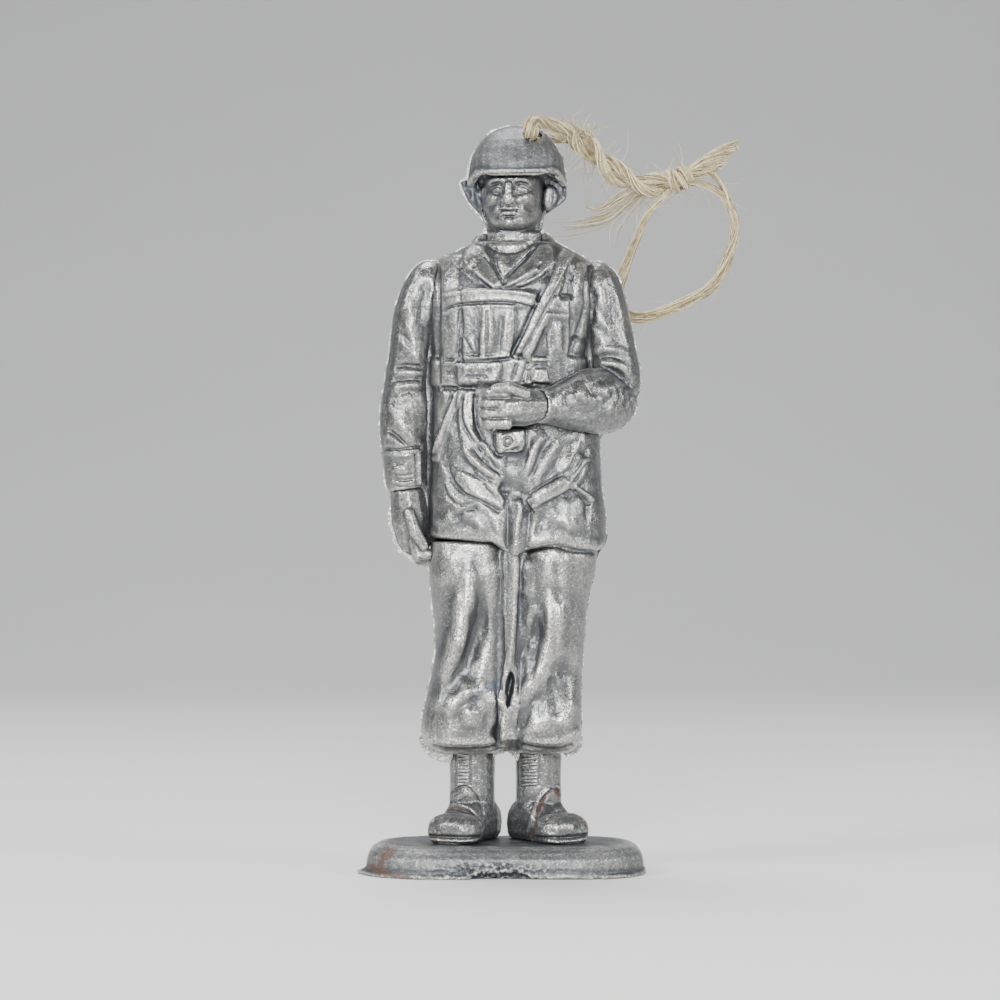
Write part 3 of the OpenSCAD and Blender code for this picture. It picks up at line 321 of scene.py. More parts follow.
def neighbourMean(values, pairs):
    sums = np.zeros_like(values)
    a, b = pairs.T
    counts = np.bincount(pairs.ravel(), minlength=len(values)).astype(float)
    for k in range(values.shape[1]):
        sums[:, k] = (np.bincount(a, values[b, k], len(values))
                      + np.bincount(b, values[a, k], len(values)))
    return sums / np.maximum(counts, 1)[:, None]


def smoothed(mesh, rounds):  # evens the skin out without shrinking it
    pairs, points = readEdges(mesh), readPoints(mesh)
    for _ in range(rounds):
        points += skinTools["pull"] * (neighbourMean(points, pairs) - points)
        points -= skinTools["push"] * (neighbourMean(points, pairs) - points)
    writePoints(mesh, points)


def largestPart(mesh):  # drops the closed bubbles that fusing leaves inside
    work = bmesh.new()
    work.from_mesh(mesh)
    work.verts.ensure_lookup_table()
    seen = np.zeros(len(work.verts), bool)
    groups = []
    for start in work.verts:
        if seen[start.index]:
            continue
        seen[start.index] = True
        group, waiting = [start], [start]
        while waiting:
            for edge in waiting.pop().link_edges:
                for other in edge.verts:
                    if not seen[other.index]:
                        seen[other.index] = True
                        group.append(other)
                        waiting.append(other)
        groups.append(group)
    groups.sort(key=len)
    for group in groups[:-1]:
        bmesh.ops.delete(work, geom=group, context="VERTS")
    work.to_mesh(mesh)
    work.free()


def splitFront(mesh):  # four faces for one where the skin looks at the camera
    work = bmesh.new()
    work.from_mesh(mesh)
    work.normal_update()
    edges = {e for f in work.faces if f.normal.y < -skinTools["splitFacing"] for e in f.edges}
    bmesh.ops.subdivide_edges(work, edges=list(edges), cuts=1, use_grid_fill=True)
    bmesh.ops.triangulate(work, faces=[f for f in work.faces if len(f.verts) > 4])
    work.to_mesh(mesh)
    work.free()


def fusedSkin(plan, nodes, fills=(), finer=True):  # CAD nodes and solid fills as one skin
    points, faces = joined([nodeShape(name) for name in nodes] + list(fills))
    mesh = bpy.data.meshes.new("skin")
    mesh.from_pydata(points.tolist(), [], faces)
    holder = linked("holder", mesh)
    fuse = holder.modifiers.new("fuse", "REMESH")
    fuse.mode = "VOXEL"
    fuse.voxel_size = plan["voxelMm"]
    seen = bpy.context.evaluated_depsgraph_get()
    skin = bpy.data.meshes.new_from_object(holder.evaluated_get(seen))
    bpy.data.objects.remove(holder)
    bpy.data.meshes.remove(mesh)
    largestPart(skin)
    smoothed(skin, plan["rounds"])
    if finer:
        splitFront(skin)
        smoothed(skin, skinTools["splitRounds"])
    return skin


def carve(skin, strokes, front=True):
    points, normals = readPoints(skin), readNormals(skin)
    spots = photoSpots(points)
    facing = -normals[:, 1] if front else normals[:, 1]
    shown = eased((facing - skinTools["carveFacing"]) / 0.4)
    lift = np.zeros(len(points))
    for kind, height, width, path in strokes:
        lift += strokeLift(kind, height, width, path, spots)
    writePoints(skin, points + normals * (lift * shown)[:, None])


def unevenness(skin, plan):  # cooling marks and worn pigment: slow swells and a fine grain
    points, normals = readPoints(skin), readNormals(skin)
    lift = plan["swellMm"] * waves(points, plan["swellSizeMm"], plan["seed"])
    lift += plan["grainMm"] * waves(points, plan["grainSizeMm"], plan["seed"] + 1, 40)
    writePoints(skin, points + normals * lift[:, None])


# how far each point lies in a crease (+) or on a crest (-)
def markHollows(skin, sheenStrength=1.0, soft=2, narrow=0.6, broad=0.6, broadRounds=34):
    pairs, points = readEdges(skin), readPoints(skin)
    normals = readNormals(skin)
    wide, depths = points, []
    # narrow creases first, then the broad folds
    for rounds in (skinTools["narrowRounds"], broadRounds):
        for _ in range(rounds):
            wide = neighbourMean(wide, pairs)
        depths.append(((wide - points) * normals).sum(1))
    depth = narrow * depths[0] / skinTools["narrowMm"] + broad * depths[1] / skinTools["broadMm"]
    depth = depth[:, None]
    for _ in range(soft):
        depth = neighbourMean(depth, pairs)
    # painted sheen: the skin is painted paler where it looks to the front or the back, and the
    # flanks stay dark and bluish
    facingSheen = (sheenStrength * eased((np.abs(normals[:, 1]) - 0.15) / 0.7))[:, None]
    for _ in range(skinTools["facingSheenRounds"]):
        facingSheen = neighbourMean(facingSheen, pairs)
    # the materials paint shade into the creases and glints onto the crests by this measure
    addLayer(skin, "hollow", np.clip(depth[:, 0], -1, 1))
    addLayer(skin, "facingSheen", facingSheen[:, 0])


def markStain(skin, marks):  # brown and blue marks, drawn in photograph pixels
    points = readPoints(skin)
    spots = photoSpots(points)
    ragged = 0.35 * waves(points, 1.1, 71, 30) + 0.25 * waves(points, 0.35, 72, 30)
    front = eased((0.35 - readNormals(skin)[:, 1]) / 0.3)
    for name in ("rust", "ink"):
        amount = np.zeros(len(points))
        for strength, width, path in marks.get(name, ()):
            path = curved(path, 5) if len(path) > 2 else np.array(path, float)
            away, _, _ = fromLine(spots, path)
            amount = np.maximum(amount, strength * eased(1.25 - away / width + 0.9 * ragged))
        addLayer(skin, name, amount * front)


def placed(name, skin, material, replaced=(), slot="silver_plastic"):
    if slot == "silver_plastic":  # hard pieces stay inside the solids' own box
        low, high = np.array(cadBox) / metre
        writePoints(skin, np.clip(readPoints(skin), low, high))
    skin.transform(Matrix.Scale(metre, 4))
    skin.name = name
    skin.materials.clear()
    skin.materials.append(material)
    skin.polygons.foreach_set("use_smooth", [True] * len(skin.polygons))
    piece = linked(name, skin)
    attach(piece, "root")
    if replaced:
        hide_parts(*replaced)
    return piece


def finished(name, skin, plan, nodes, material):  # the last steps of a moulded piece
    unevenness(skin, plan["finish"])
    smoothed(skin, plan.get("lastRounds", 0))
    markHollows(skin, plan.get("sheenStrength", 1.0), **plan.get("creases", {}))
    if "stains" in plan:
        markStain(skin, plan["stains"])
    placed(name, skin, material, nodes)
    print(name, len(skin.polygons), "faces")


# Materials


class Nodes:  # wires shader nodes

    def __init__(self, name):
        self.material = bpy.data.materials.new(name)
        self.material.use_nodes = True
        self.tree = self.material.node_tree
        self.tree.nodes.clear()

    def add(self, kind, settings=None, **sockets):
        node = self.tree.nodes.new(kind)
        for key, value in (settings or {}).items():
            setattr(node, key, value)
        for key, value in sockets.items():
            self.feed(node.inputs[key.replace("_", " ")], value)
        return node

    def feed(self, socket, value):
        if isinstance(value, bpy.types.NodeSocket):
            self.tree.links.new(value, socket)
        else:
            socket.default_value = value

    def sum(self, operation, a, b):
        node = self.tree.nodes.new("ShaderNodeMath")
        node.operation = operation
        self.feed(node.inputs[0], a)
        self.feed(node.inputs[1], b)
        return node.outputs[0]

    def mix(self, factor, a, b):
        node = self.tree.nodes.new("ShaderNodeMix")
        node.data_type = "RGBA"
        for index, value in ((0, factor), (6, a), (7, b)):
            self.feed(node.inputs[index], value)
        return node.outputs[2]

    def spread(self, value, low, high, toLow=0.0, toHigh=1.0):
        node = self.tree.nodes.new("ShaderNodeMapRange")
        for index, number in enumerate((value, low, high, toLow, toHigh)):
            self.feed(node.inputs[index], number)
        return node.outputs[0]

    def inMm(self, stretch=(1, 1, 1)):
        place = self.add("ShaderNodeTexCoord")
        scaled = self.add("ShaderNodeMapping", Vector=place.outputs["Object"],
                          Scale=[s / metre for s in stretch])
        return scaled.outputs[0]

    def noise(self, place, perMm, detail=2.0, rough=0.5, swirl=0.0):
        node = self.add("ShaderNodeTexNoise", Vector=place, Scale=perMm, Detail=detail,
                        Roughness=rough, Distortion=swirl)
        return node.outputs[0]

    def layer(self, name):
        return self.add("ShaderNodeAttribute", {"attribute_name": name}).outputs["Fac"]

    def close(self, shader):
        out = self.add("ShaderNodeOutputMaterial")
        self.tree.links.new(shader.outputs[0], out.inputs[0])
        return self.material


def rgb(red, green, blue):
    return (red, green, blue, 1.0)


silver = {
    "deep": rgb(0.043, 0.051, 0.066),
    "pale": rgb(0.145, 0.146, 0.143),
    "paintedGlint": rgb(0.78, 0.76, 0.70),
    # the colour of the painted shade in creases and gaps
    "crease": rgb(0.026, 0.030, 0.038),
    "rust": rgb(0.060, 0.025, 0.011),
    "ink": rgb(0.03, 0.09, 0.19),
    # how far each of them covers the one below
    "cloudShare": 0.36,
    "facingSheenShare": 0.56,
    "creaseShadeShare": 0.66,
    "occlusionShadeShare": 0.75,
    "rustShare": 0.85,
    "inkShare": 0.7,
    "metallic": 0.78,
    "metallicWithoutSheen": -0.28,  # added where no facing sheen is painted, as on the flanks
    "roughness": (0.22, 0.37),  # where the tone, with its painted sheen, is pale and where it is deep
    "coat": 0.30,
    "coatRoughness": 0.20,
    "swirlPerMm": 0.30,
    "streakPerMm": 1.1,
    "flakesPerMm": 9.0,
    "specklesPerMm": 6.5,
    "grainPerMm": 7.0,
    "pitsPerMm": 3.2,
    "grainBump": 0.5,
    "bumpMm": 0.06,
    "occlusionShadeMm": 1.1,  # how far the painted shade of occlusion reaches out of the gaps between forms
    # the helmet and the base have kept a duller skin
    "matt": {"deep": rgb(0.030, 0.036, 0.047), "pale": rgb(0.096, 0.098, 0.101),
             "metallic": 0.60, "roughness": (0.33, 0.50), "coat": 0.10, "coatRoughness": 0.35},
}


def silverPlastic(name, stained=False, matt=False):
    n = Nodes(name)
    look = {**silver, **(silver["matt"] if matt else {})}
    place, streaked = n.inMm(), n.inMm((1.0, 1.0, 0.28))
    swirl = n.noise(place, look["swirlPerMm"], 3, 0.55, 1.4)
    streak = n.noise(streaked, look["streakPerMm"], 4, 0.6, 0.8)
    cloud = n.spread(n.sum("ADD", swirl, n.sum("MULTIPLY", streak, 0.6)), 0.62, 0.98)
    flakes = n.add("ShaderNodeTexVoronoi", Vector=place, Scale=look["flakesPerMm"])
    spark = n.add("ShaderNodeSeparateColor", Color=flakes.outputs["Color"]).outputs[0]
    speckle = n.noise(place, look["specklesPerMm"], 3, 0.7)
    hollow, facingSheen = n.layer("hollow"), n.layer("facingSheen")
    crest = n.spread(hollow, 0.05, -0.65)
    crease = n.spread(hollow, 0.08, 0.85)
    # the tone runs from deep to pale with random clouds and with the painted facing sheen
    tone = n.sum("ADD", n.sum("MULTIPLY", cloud, look["cloudShare"]),
                 n.sum("MULTIPLY", facingSheen, look["facingSheenShare"]))
    colour = n.mix(tone, look["deep"], look["pale"])
    # painted glints: pale flecks on the crests, where the metal flakes would glitter, and a few
    # wherever the facing sheen is painted
    glitter = n.sum("MULTIPLY", n.spread(spark, 0.2, 0.9, 0.4, 1.0),
                    n.spread(speckle, 0.42, 0.62, 0.3, 1.0))
    colour = n.mix(n.sum("MULTIPLY", crest, glitter), colour, look["paintedGlint"])
    colour = n.mix(n.sum("MULTIPLY", n.spread(spark, 0.86, 1.0, 0.0, 0.3), facingSheen),
                   colour, look["paintedGlint"])
    # painted shade: creases and the gaps between forms are darkened, the gaps by how enclosed each
    # point is
    colour = n.mix(n.sum("MULTIPLY", crease, look["creaseShadeShare"]), colour, look["crease"])
    openness = n.add("ShaderNodeAmbientOcclusion", {"samples": 6},
                     Distance=look["occlusionShadeMm"] * metre).outputs["AO"]
    colour = n.mix(n.spread(openness, 0.85, 0.25, 0.0, look["occlusionShadeShare"]), colour,
                   look["crease"])
    metallic = n.spread(facingSheen, 0.0, 0.8, look["metallic"] + look["metallicWithoutSheen"],
                        look["metallic"])
    metallic = n.sum("SUBTRACT", metallic, n.sum("MULTIPLY", crease, 0.2))
    rough = n.spread(tone, 0.1, 0.9, look["roughness"][1], look["roughness"][0])
    if stained:
        rust, ink = n.layer("rust"), n.layer("ink")
        colour = n.mix(n.sum("MULTIPLY", rust, look["rustShare"]), colour, look["rust"])
        colour = n.mix(n.sum("MULTIPLY", ink, look["inkShare"]), colour, look["ink"])
        rough = n.sum("ADD", rough, n.sum("MULTIPLY", rust, 0.25))
        metallic = n.sum("SUBTRACT", metallic, n.sum("MULTIPLY", rust, 0.55))
    grain = n.noise(place, look["grainPerMm"], 3, 0.6)
    pits = n.noise(place, look["pitsPerMm"], 2, 0.5)
    height = n.sum("ADD", n.sum("ADD", grain, n.sum("MULTIPLY", pits, 1.3)),
                   n.sum("MULTIPLY", spark, 0.2))
    bump = n.add("ShaderNodeBump", Strength=look["grainBump"], Distance=look["bumpMm"] * metre,
                 Height=height)
    shader = n.add("ShaderNodeBsdfPrincipled", Base_Color=colour, Metallic=metallic,
                   Roughness=rough, Coat_Weight=look["coat"],
                   Coat_Roughness=look["coatRoughness"], Normal=bump.outputs[0])
    return n.close(shader)


jute = {
    "shade": rgb(0.14, 0.105, 0.048),
    "straw": rgb(0.37, 0.30, 0.155),
    "bleached": rgb(0.66, 0.575, 0.37),
    "cloudPerMm": 1.6,
    "finePerMm": 9.0,
    "bump": 0.4,
    "bumpMm": 0.05,
    "roughness": 0.62,
    "sheen": 0.25,
    "sheenRoughness": 0.4,
}


def juteFibre(name):
    n = Nodes(name)
    place = n.inMm()
    cloud = n.noise(place, jute["cloudPerMm"], 4, 0.65, 0.5)
    fine = n.noise(place, jute["finePerMm"], 2, 0.6)
    tone = n.sum("ADD", n.layer("tone"), n.spread(cloud, 0.3, 0.7, -0.25, 0.25))
    colour = n.mix(n.spread(tone, 0.35, 0.95), jute["straw"], jute["bleached"])
    # the dark cores take the shade colour as painted shade between the fibres; fibres of the lowest
    # random tones darken towards it too
    colour = n.mix(n.spread(tone, 0.32, 0.0, 0.0, 0.85), colour, jute["shade"])
    colour = n.mix(n.spread(fine, 0.6, 0.85, 0.0, 0.5), colour, jute["shade"])
    bump = n.add("ShaderNodeBump", Strength=jute["bump"], Distance=jute["bumpMm"] * metre,
                 Height=fine)
    shader = n.add("ShaderNodeBsdfPrincipled", Base_Color=colour, Roughness=jute["roughness"],
                   Sheen_Weight=jute["sheen"], Sheen_Roughness=jute["sheenRoughness"],
                   Normal=bump.outputs[0])
    return n.close(shader)


def paleSurface(name, colour):
    n = Nodes(name)
    tone = n.noise(n.inMm(), 0.03, 2)
    shade = n.mix(n.spread(tone, 0.3, 0.7), rgb(*[c * 0.985 for c in colour]), rgb(*colour))
    return n.close(n.add("ShaderNodeBsdfPrincipled", Base_Color=shade, Roughness=0.85))


mattSilver = silverPlastic("silver_plastic_dull", matt=True)
mattStainedSilver = silverPlastic("silver_plastic_dull_stained", stained=True, matt=True)
plainSilver = silverPlastic("silver_moulded_plastic")
stainedSilver = silverPlastic("silver_plastic_with_rust_marks", stained=True)
juteMaterial = juteFibre("jute_twine_fibre")
print("materials made")

# Twine: one strand goes from the knot along the cord, through the helmet and back

twine = {
    "strandMm": 1.05,
    "loopMm": 0.8,
    "twistMm": 6.4,
    "apart": 0.48,  # how far the two plies lie from their middle, in strand widths
    "core": 0.72,  # the thick core inside the fibres, in strand radii
    "cordSteps": 120,
    "strandSteps": 420,
    "loopSteps": 260,
    # the part's own routes, in mm
    "cordRoute": [(5.4, 0, 59.2), (6.1, 0, 58.6), (7.8, 0, 57), (9.5, 0, 55.6),
                  (11.3, 0, 54.9), (13, 0, 55.1)],
    "eyeRoute": [(5.6, -0.6, 59.1), (4.8, -0.9, 59.4), (4, -1.5, 59.55), (3.2, -2.35, 59.65),
                 (2.6, -3.15, 59.65), (2.3, -3.62, 59.3), (2.25, -3.5, 58.85),
                 (2.25, -2.85, 58.68), (2.25, 0, 58.68), (2.25, 2.6, 58.68), (2.4, 3.55, 58.8),
                 (3.2, 3.8, 59), (4.2, 2.8, 59.05), (5, 1.6, 58.9), (5.6, 0.6, 58.8)],
    "tailRoute": [(14.1, 0, 55.3), (15, 0, 55.7), (16.2, 0, 56.6), (17.6, 0, 57.35),
                  (18.85, 0, 57.85)],
    "loopRoute": [(14.4, -0.3, 55.2), (14.9, -0.3, 55.1), (16.4, -0.4, 54.8),
                  (17.9, -0.5, 53.7), (18.6, -0.6, 51.5), (18, -0.4, 48.9), (16.8, 0, 46.9),
                  (15, 0.4, 45.7), (13, 0.9, 44.8), (11, 1.9, 44.4), (9.6, 2.9, 45),
                  (9.4, 2.9, 46.4), (9.9, 2, 48.3), (10.9, 1, 50.9), (11.9, 0.4, 52.9),
                  (13.3, 0, 54.3), (14, 0, 55)],
    "knot": (14.1, 0, 55.3),
    "holeMouth": (2.25, -3.5, 58.85),
    # fibres that left the strands: the split beside the knot, then wisps below the cord
    "splitRoute": [(14.5, -0.2, 55.4), (15.5, -0.3, 56.0), (16.7, -0.4, 55.75),
                   (17.6, -0.5, 54.8), (18.2, -0.6, 53.4), (18.6, -0.6, 51.5)],
    "wisps": [
        # route, fibres, spread in mm at its start and its end
        ([(11.4, 0, 54.6), (9.6, 0.2, 53.2), (8.2, 0.4, 52.2), (6.0, 0.6, 51.7),
          (3.6, 0.8, 51.5)], 26, 0.35, 0.55),
        ([(10.6, 0, 54.7), (9.0, -0.1, 53.6), (8.0, -0.1, 52.9), (7.0, 0, 53.1),
          (6.4, 0.1, 53.6)], 30, 0.3, 0.35),
        ([(12.0, 0, 54.5), (10.3, 0.1, 53.0), (9.0, 0.2, 51.4), (8.7, 0.2, 49.8)], 7, 0.3, 0.3),
        ([(9.0, 0, 55.4), (8.3, -0.3, 54.6), (7.9, -0.4, 53.8)], 6, 0.5, 0.6),
    ],
    "brushTop": (18.9, 0.1, 58.5),
    "brushBottom": (17.2, 0.1, 55.8),
    "brushMm": 5.4,
    "tuftFoot": (6.15, -0.2, 58.7),
    "knotTurns": 2.6,
    "knotWidthMm": 1.5,
    "knotRadiusMm": 0.66,
    "fibres": {"strand": 190, "brush": 340, "loop": 120, "split": 34, "knot": 60, "knotCore": 50},
    "hairs": {"cord": 100, "loop": 90, "tuft": 130, "wild": 16, "knot": 26},
    "seed": 5,
}


def lineFrames(line):  # two directions across a line at each point, without twist
    ways = np.gradient(line, axis=0)
    ways /= np.linalg.norm(ways, axis=1)[:, None]
    across = np.zeros_like(line)
    first = np.cross(ways[0], (0.0, 1.0, 0.0))
    across[0] = np.cross(first, ways[0])
    for k in range(len(line)):
        before = across[max(k - 1, 0)]
        side = before - ways[k] * (before @ ways[k])
        across[k] = side / max(np.linalg.norm(side), 1e-9)
    return across, np.cross(ways, across)


def tubes(lines, radii, sides):  # many thin tubes: lines (n, m, 3), radii (n, m)
    count, steps, _ = lines.shape
    ways = np.gradient(lines, axis=1)
    ways /= np.maximum(np.linalg.norm(ways, axis=2), 1e-9)[..., None]
    helper = np.cross(ways, np.array([0.21, 0.93, 0.30]))
    helper /= np.maximum(np.linalg.norm(helper, axis=2), 1e-9)[..., None]
    other = np.cross(ways, helper)
    turn = 2 * math.pi * np.arange(sides) / sides
    rings = (lines[:, :, None]
             + (radii[..., None, None] * np.cos(turn)[:, None] * helper[:, :, None])
             + (radii[..., None, None] * np.sin(turn)[:, None] * other[:, :, None]))
    points = rings.reshape(-1, 3)
    tone = np.full(len(points), 0.12)  # the thick cores are painted dark, as painted shade in the gaps between the fibres
    if count > 3:  # each fibre has its own tone
        fibre = np.sin(np.arange(count) * 12.9898 + 4.1) * 437.5453
        tone = np.repeat(fibre - np.floor(fibre), steps * sides)
    a = np.arange(sides)
    b = (a + 1) % sides
    faces = []
    wall = np.stack([a, b, b + sides, a + sides], 1)
    for n in range(count):
        start = n * steps * sides
        for m in range(steps - 1):
            faces.extend((wall + start + m * sides).tolist())
        faces.append((a[::-1] + start).tolist())
        faces.append((a + start + (steps - 1) * sides).tolist())
    return points, faces, tone


def fibreMesh(name, parts):
    points, faces = joined([part[:2] for part in parts])
    mesh = bpy.data.meshes.new(name)
    mesh.from_pydata(points.tolist(), [], faces)
    mesh.update()
    addLayer(mesh, "tone", np.concatenate([part[2] for part in parts]))
    return mesh


def picked(rows, share):  # a line's rows at some shares of its length
    places = np.linspace(0, 1, len(rows))
    return np.stack([np.interp(share, places, rows[:, k]) for k in range(3)], 1)


def bundle(line, radiusMm, fibres, dice, thickMm=(0.03, 0.055), turnMm=5.0, endSpread=None,
           steps=90):  # fibres that run along a line, some loose at their ends
    total = lineLength(line)
    across, up = lineFrames(line)
    taper = np.interp(np.linspace(0, 1, steps), [0, 0.08, 0.92, 1], [0.35, 1, 1, 0.35])
    lines, radii = [], []
    for _ in range(fibres):
        start, end = sorted(dice.uniform(-0.25, 1.25, 2))
        if end - start < 0.2:
            end = start + 0.35
        share = np.linspace(max(start, 0.0), min(end, 1.0), steps)
        middle, sideways, upward = (picked(rows, share) for rows in (line, across, up))
        turn = dice.uniform(0, 2 * math.pi) + 2 * math.pi * share * total / turnMm
        turn = turn + 0.35 * np.sin(share * total * dice.uniform(0.5, 1.5) + dice.uniform(0, 6))
        out = radiusMm * math.sqrt(dice.uniform(0.25, 1.0))
        out = out * (1 + 0.10 * np.sin(share * total * dice.uniform(0.6, 2) + dice.uniform(0, 6)))
        if endSpread is not None:
            out = out * np.interp(share, *endSpread)
        lines.append(middle + sideways * (out * np.cos(turn))[:, None]
                     + upward * (out * np.sin(turn))[:, None])
        radii.append(dice.uniform(*thickMm) * taper)
    return np.array(lines), np.array(radii)


def ply(line, turnStart, radiusMm):
    across, up = lineFrames(line)
    turn = turnStart + 2 * math.pi * np.linspace(0, lineLength(line), len(line)) / twine["twistMm"]
    return line + radiusMm * (across * np.cos(turn)[:, None] + up * np.sin(turn)[:, None])


def looseHairs(anchors, ways, dice, lengthMm, curl, thickMm=0.022, steps=14):
    lines, radii = [], []
    for anchor, way in zip(anchors, ways):
        heading = np.array(way, float) + dice.normal(0, 0.35, 3)
        heading /= np.linalg.norm(heading)
        bend = np.cross(heading, dice.normal(0, 1, 3)) * dice.uniform(0, curl)
        length = dice.uniform(*lengthMm)
        spots, here = [np.array(anchor, float)], np.array(anchor, float)
        for _ in range(steps - 1):
            heading = heading + bend / steps + dice.normal(0, 0.05, 3)
            heading /= np.linalg.norm(heading)
            here = here + heading * length / steps
            spots.append(here.copy())
        lines.append(spots)
        radii.append(thickMm * np.linspace(1, 0.5, steps))
    return np.array(lines), np.array(radii)


def wisp(route, fibres, startMm, endMm, dice, thickMm=(0.022, 0.04)):  # fibres that fan out
    line = spaced(curved(route, 8), 40)
    across, up = lineFrames(line)
    taper = np.interp(np.linspace(0, 1, 26), [0, 0.8, 1], [1, 0.9, 0.4])
    lines, radii = [], []
    for _ in range(fibres):
        reach = dice.uniform(0.55, 1.0)
        share = np.linspace(dice.uniform(0, 0.12), reach, 26)
        middle, sideways, upward = (picked(rows, share) for rows in (line, across, up))
        width = startMm + (endMm - startMm) * share
        bow = dice.normal(0, 0.6, 2) + dice.normal(0, 0.45, 2) * share[:, None]
        sway = 0.35 * np.sin(share[:, None] * dice.uniform(2, 7, 2) + dice.uniform(0, 6, 2))
        off = (bow + sway) * width[:, None]
        lines.append(middle + sideways * off[:, :1] + upward * off[:, 1:])
        radii.append(dice.uniform(*thickMm) * taper)
    return np.array(lines), np.array(radii)


def brush(dice):  # the frayed end: fibres fan from the knot to a slanting, uneven edge
    foot, top, bottom = (np.array(twine[k]) for k in ("tailRoute", "brushTop", "brushBottom"))
    foot = foot[0] + (0.5, 0, 0.35)
    t = np.linspace(0, 1, 16)[:, None]
    taper = np.interp(t[:, 0], [0, 0.85, 1], [1, 0.9, 0.35])
    lines, radii = [], []
    for _ in range(twine["fibres"]["brush"]):
        aim = dice.beta(0.9, 0.9)
        depth = dice.normal(0, 0.35)
        end = bottom + (top - bottom) * aim
        end = foot + (end - foot) * dice.uniform(0.78, 1.03) + (0, depth, 0)
        bulge = np.array([-0.5, 0, 0.75]) * (aim - 0.25) + (0, 0.6 * depth, 0)
        start = foot + dice.normal(0, 0.17, 3) * (0.6, 1, 1)
        path = start * (1 - t) ** 2 + 2 * t * (1 - t) * ((start + end) / 2 + bulge) + end * t ** 2
        lines.append(path + dice.normal(0, 0.12, 3) * t ** 2 * np.sin(t * dice.uniform(3, 8)))
        radii.append(dice.uniform(0.028, 0.055) * taper)
    return np.array(lines), np.array(radii)


def makeStrand(strand, dice):
    radius = 0.5 * twine["strandMm"]
    shares = np.linspace(0, 1, len(strand))
    tail = 1 - twine["brushMm"] / lineLength(strand)
    loosened = tail + 0.3 * (1 - tail)
    core = radius * twine["core"] * np.interp(shares, [0, tail, loosened, 1], [1, 0.9, 0.6, 0.05])
    # the strand swells and thins a little, as spun jute does, and fills the hole's mouth
    core *= 1 + 0.07 * np.sin(shares * 61) * np.sin(shares * 23)
    fromMouth = np.linalg.norm(strand - twine["holeMouth"], axis=1)
    core *= 1 + 0.2 * np.exp(-(fromMouth / 0.6) ** 2)
    mouth = shares[fromMouth.argmin()]
    spread = ([0, mouth - 0.025, mouth - 0.005, mouth + 0.005, mouth + 0.025, tail, loosened, 1],
              [1, 1, 1.3, 1.3, 1, 0.9, 0.8, 0.5])
    fibres = bundle(strand, radius * 0.9, twine["fibres"]["strand"], dice, (0.03, 0.065),
                    turnMm=8.5, endSpread=spread)
    mesh = fibreMesh("twine_strand", [tubes(strand[None], core[None], 12), tubes(*fibres, 4),
                                      tubes(*brush(dice), 4)])
    return placed("twine_strand", mesh, juteMaterial, ["twine_eye", "twine_cord", "twine_tail"],
                  "twine")


def makeLoop(loop, dice):  # a full strand on its outer side that thins out on its inner side
    radius = 0.5 * twine["loopMm"]
    spread = ([0, 0.1, 0.3, 0.6, 0.75, 0.9, 1], [0.6, 0.7, 1.15, 1.25, 0.9, 0.6, 0.45])
    fibres = bundle(loop, radius * 0.95, twine["fibres"]["loop"], dice, (0.025, 0.05), turnMm=30,
                    endSpread=spread)
    split = bundle(spaced(curved(twine["splitRoute"], 8), 60), 0.24, twine["fibres"]["split"],
                   dice, (0.03, 0.05), turnMm=20)
    core = radius * np.interp(np.linspace(0, 1, len(loop)), [0, 0.08, 0.5, 0.68, 1],
                              [0.3, 0.45, 0.4, 0.2, 0.2])
    mesh = fibreMesh("twine_loop_strand", [tubes(loop[None], core[None], 8), tubes(*fibres, 4),
                                           tubes(*split, 4)])
    return placed("twine_loop_strand", mesh, juteMaterial, ["twine_loop"], "twine")


def makeKnot(dice):  # turns of strand round the cord, drawn tight
    knot = np.array(twine["knot"])
    along, sideways = np.array([0.94, 0.0, 0.34]), np.array([0.0, 1.0, 0.0])
    upward = np.cross(along, sideways)
    share = np.linspace(0, 1, 110)
    angle = 2 * math.pi * twine["knotTurns"] * share
    radius = twine["knotRadiusMm"] + 0.14 * np.sin(angle * 0.5 + 0.6)
    shift = (share - 0.5) * twine["knotWidthMm"] + 0.13 * np.sin(angle * 1.3)
    wrap = (knot + along * shift[:, None] + sideways * (radius * np.cos(angle))[:, None]
            + upward * (radius * np.sin(angle) * 1.05)[:, None])
    wrapped = bundle(wrap, 0.30, twine["fibres"]["knot"], dice, turnMm=9)
    inner = spaced(np.array([knot - along * 1.2, knot, knot + along * 1.2]), 30)
    inside = bundle(inner, 0.55, twine["fibres"]["knotCore"], dice, turnMm=14, steps=30)
    swell = np.interp(np.linspace(0, 1, 30), [0, 0.3, 0.7, 1], [0.3, 0.56, 0.56, 0.3])
    mesh = fibreMesh("twine_knot_turns", [
        tubes(wrap[None], np.full((1, len(wrap)), 0.24), 8), tubes(*wrapped, 4),
        tubes(*inside, 4), tubes(inner[None], swell[None], 12)])
    return placed("twine_knot_turns", mesh, juteMaterial, ["twine_knot"], "twine")


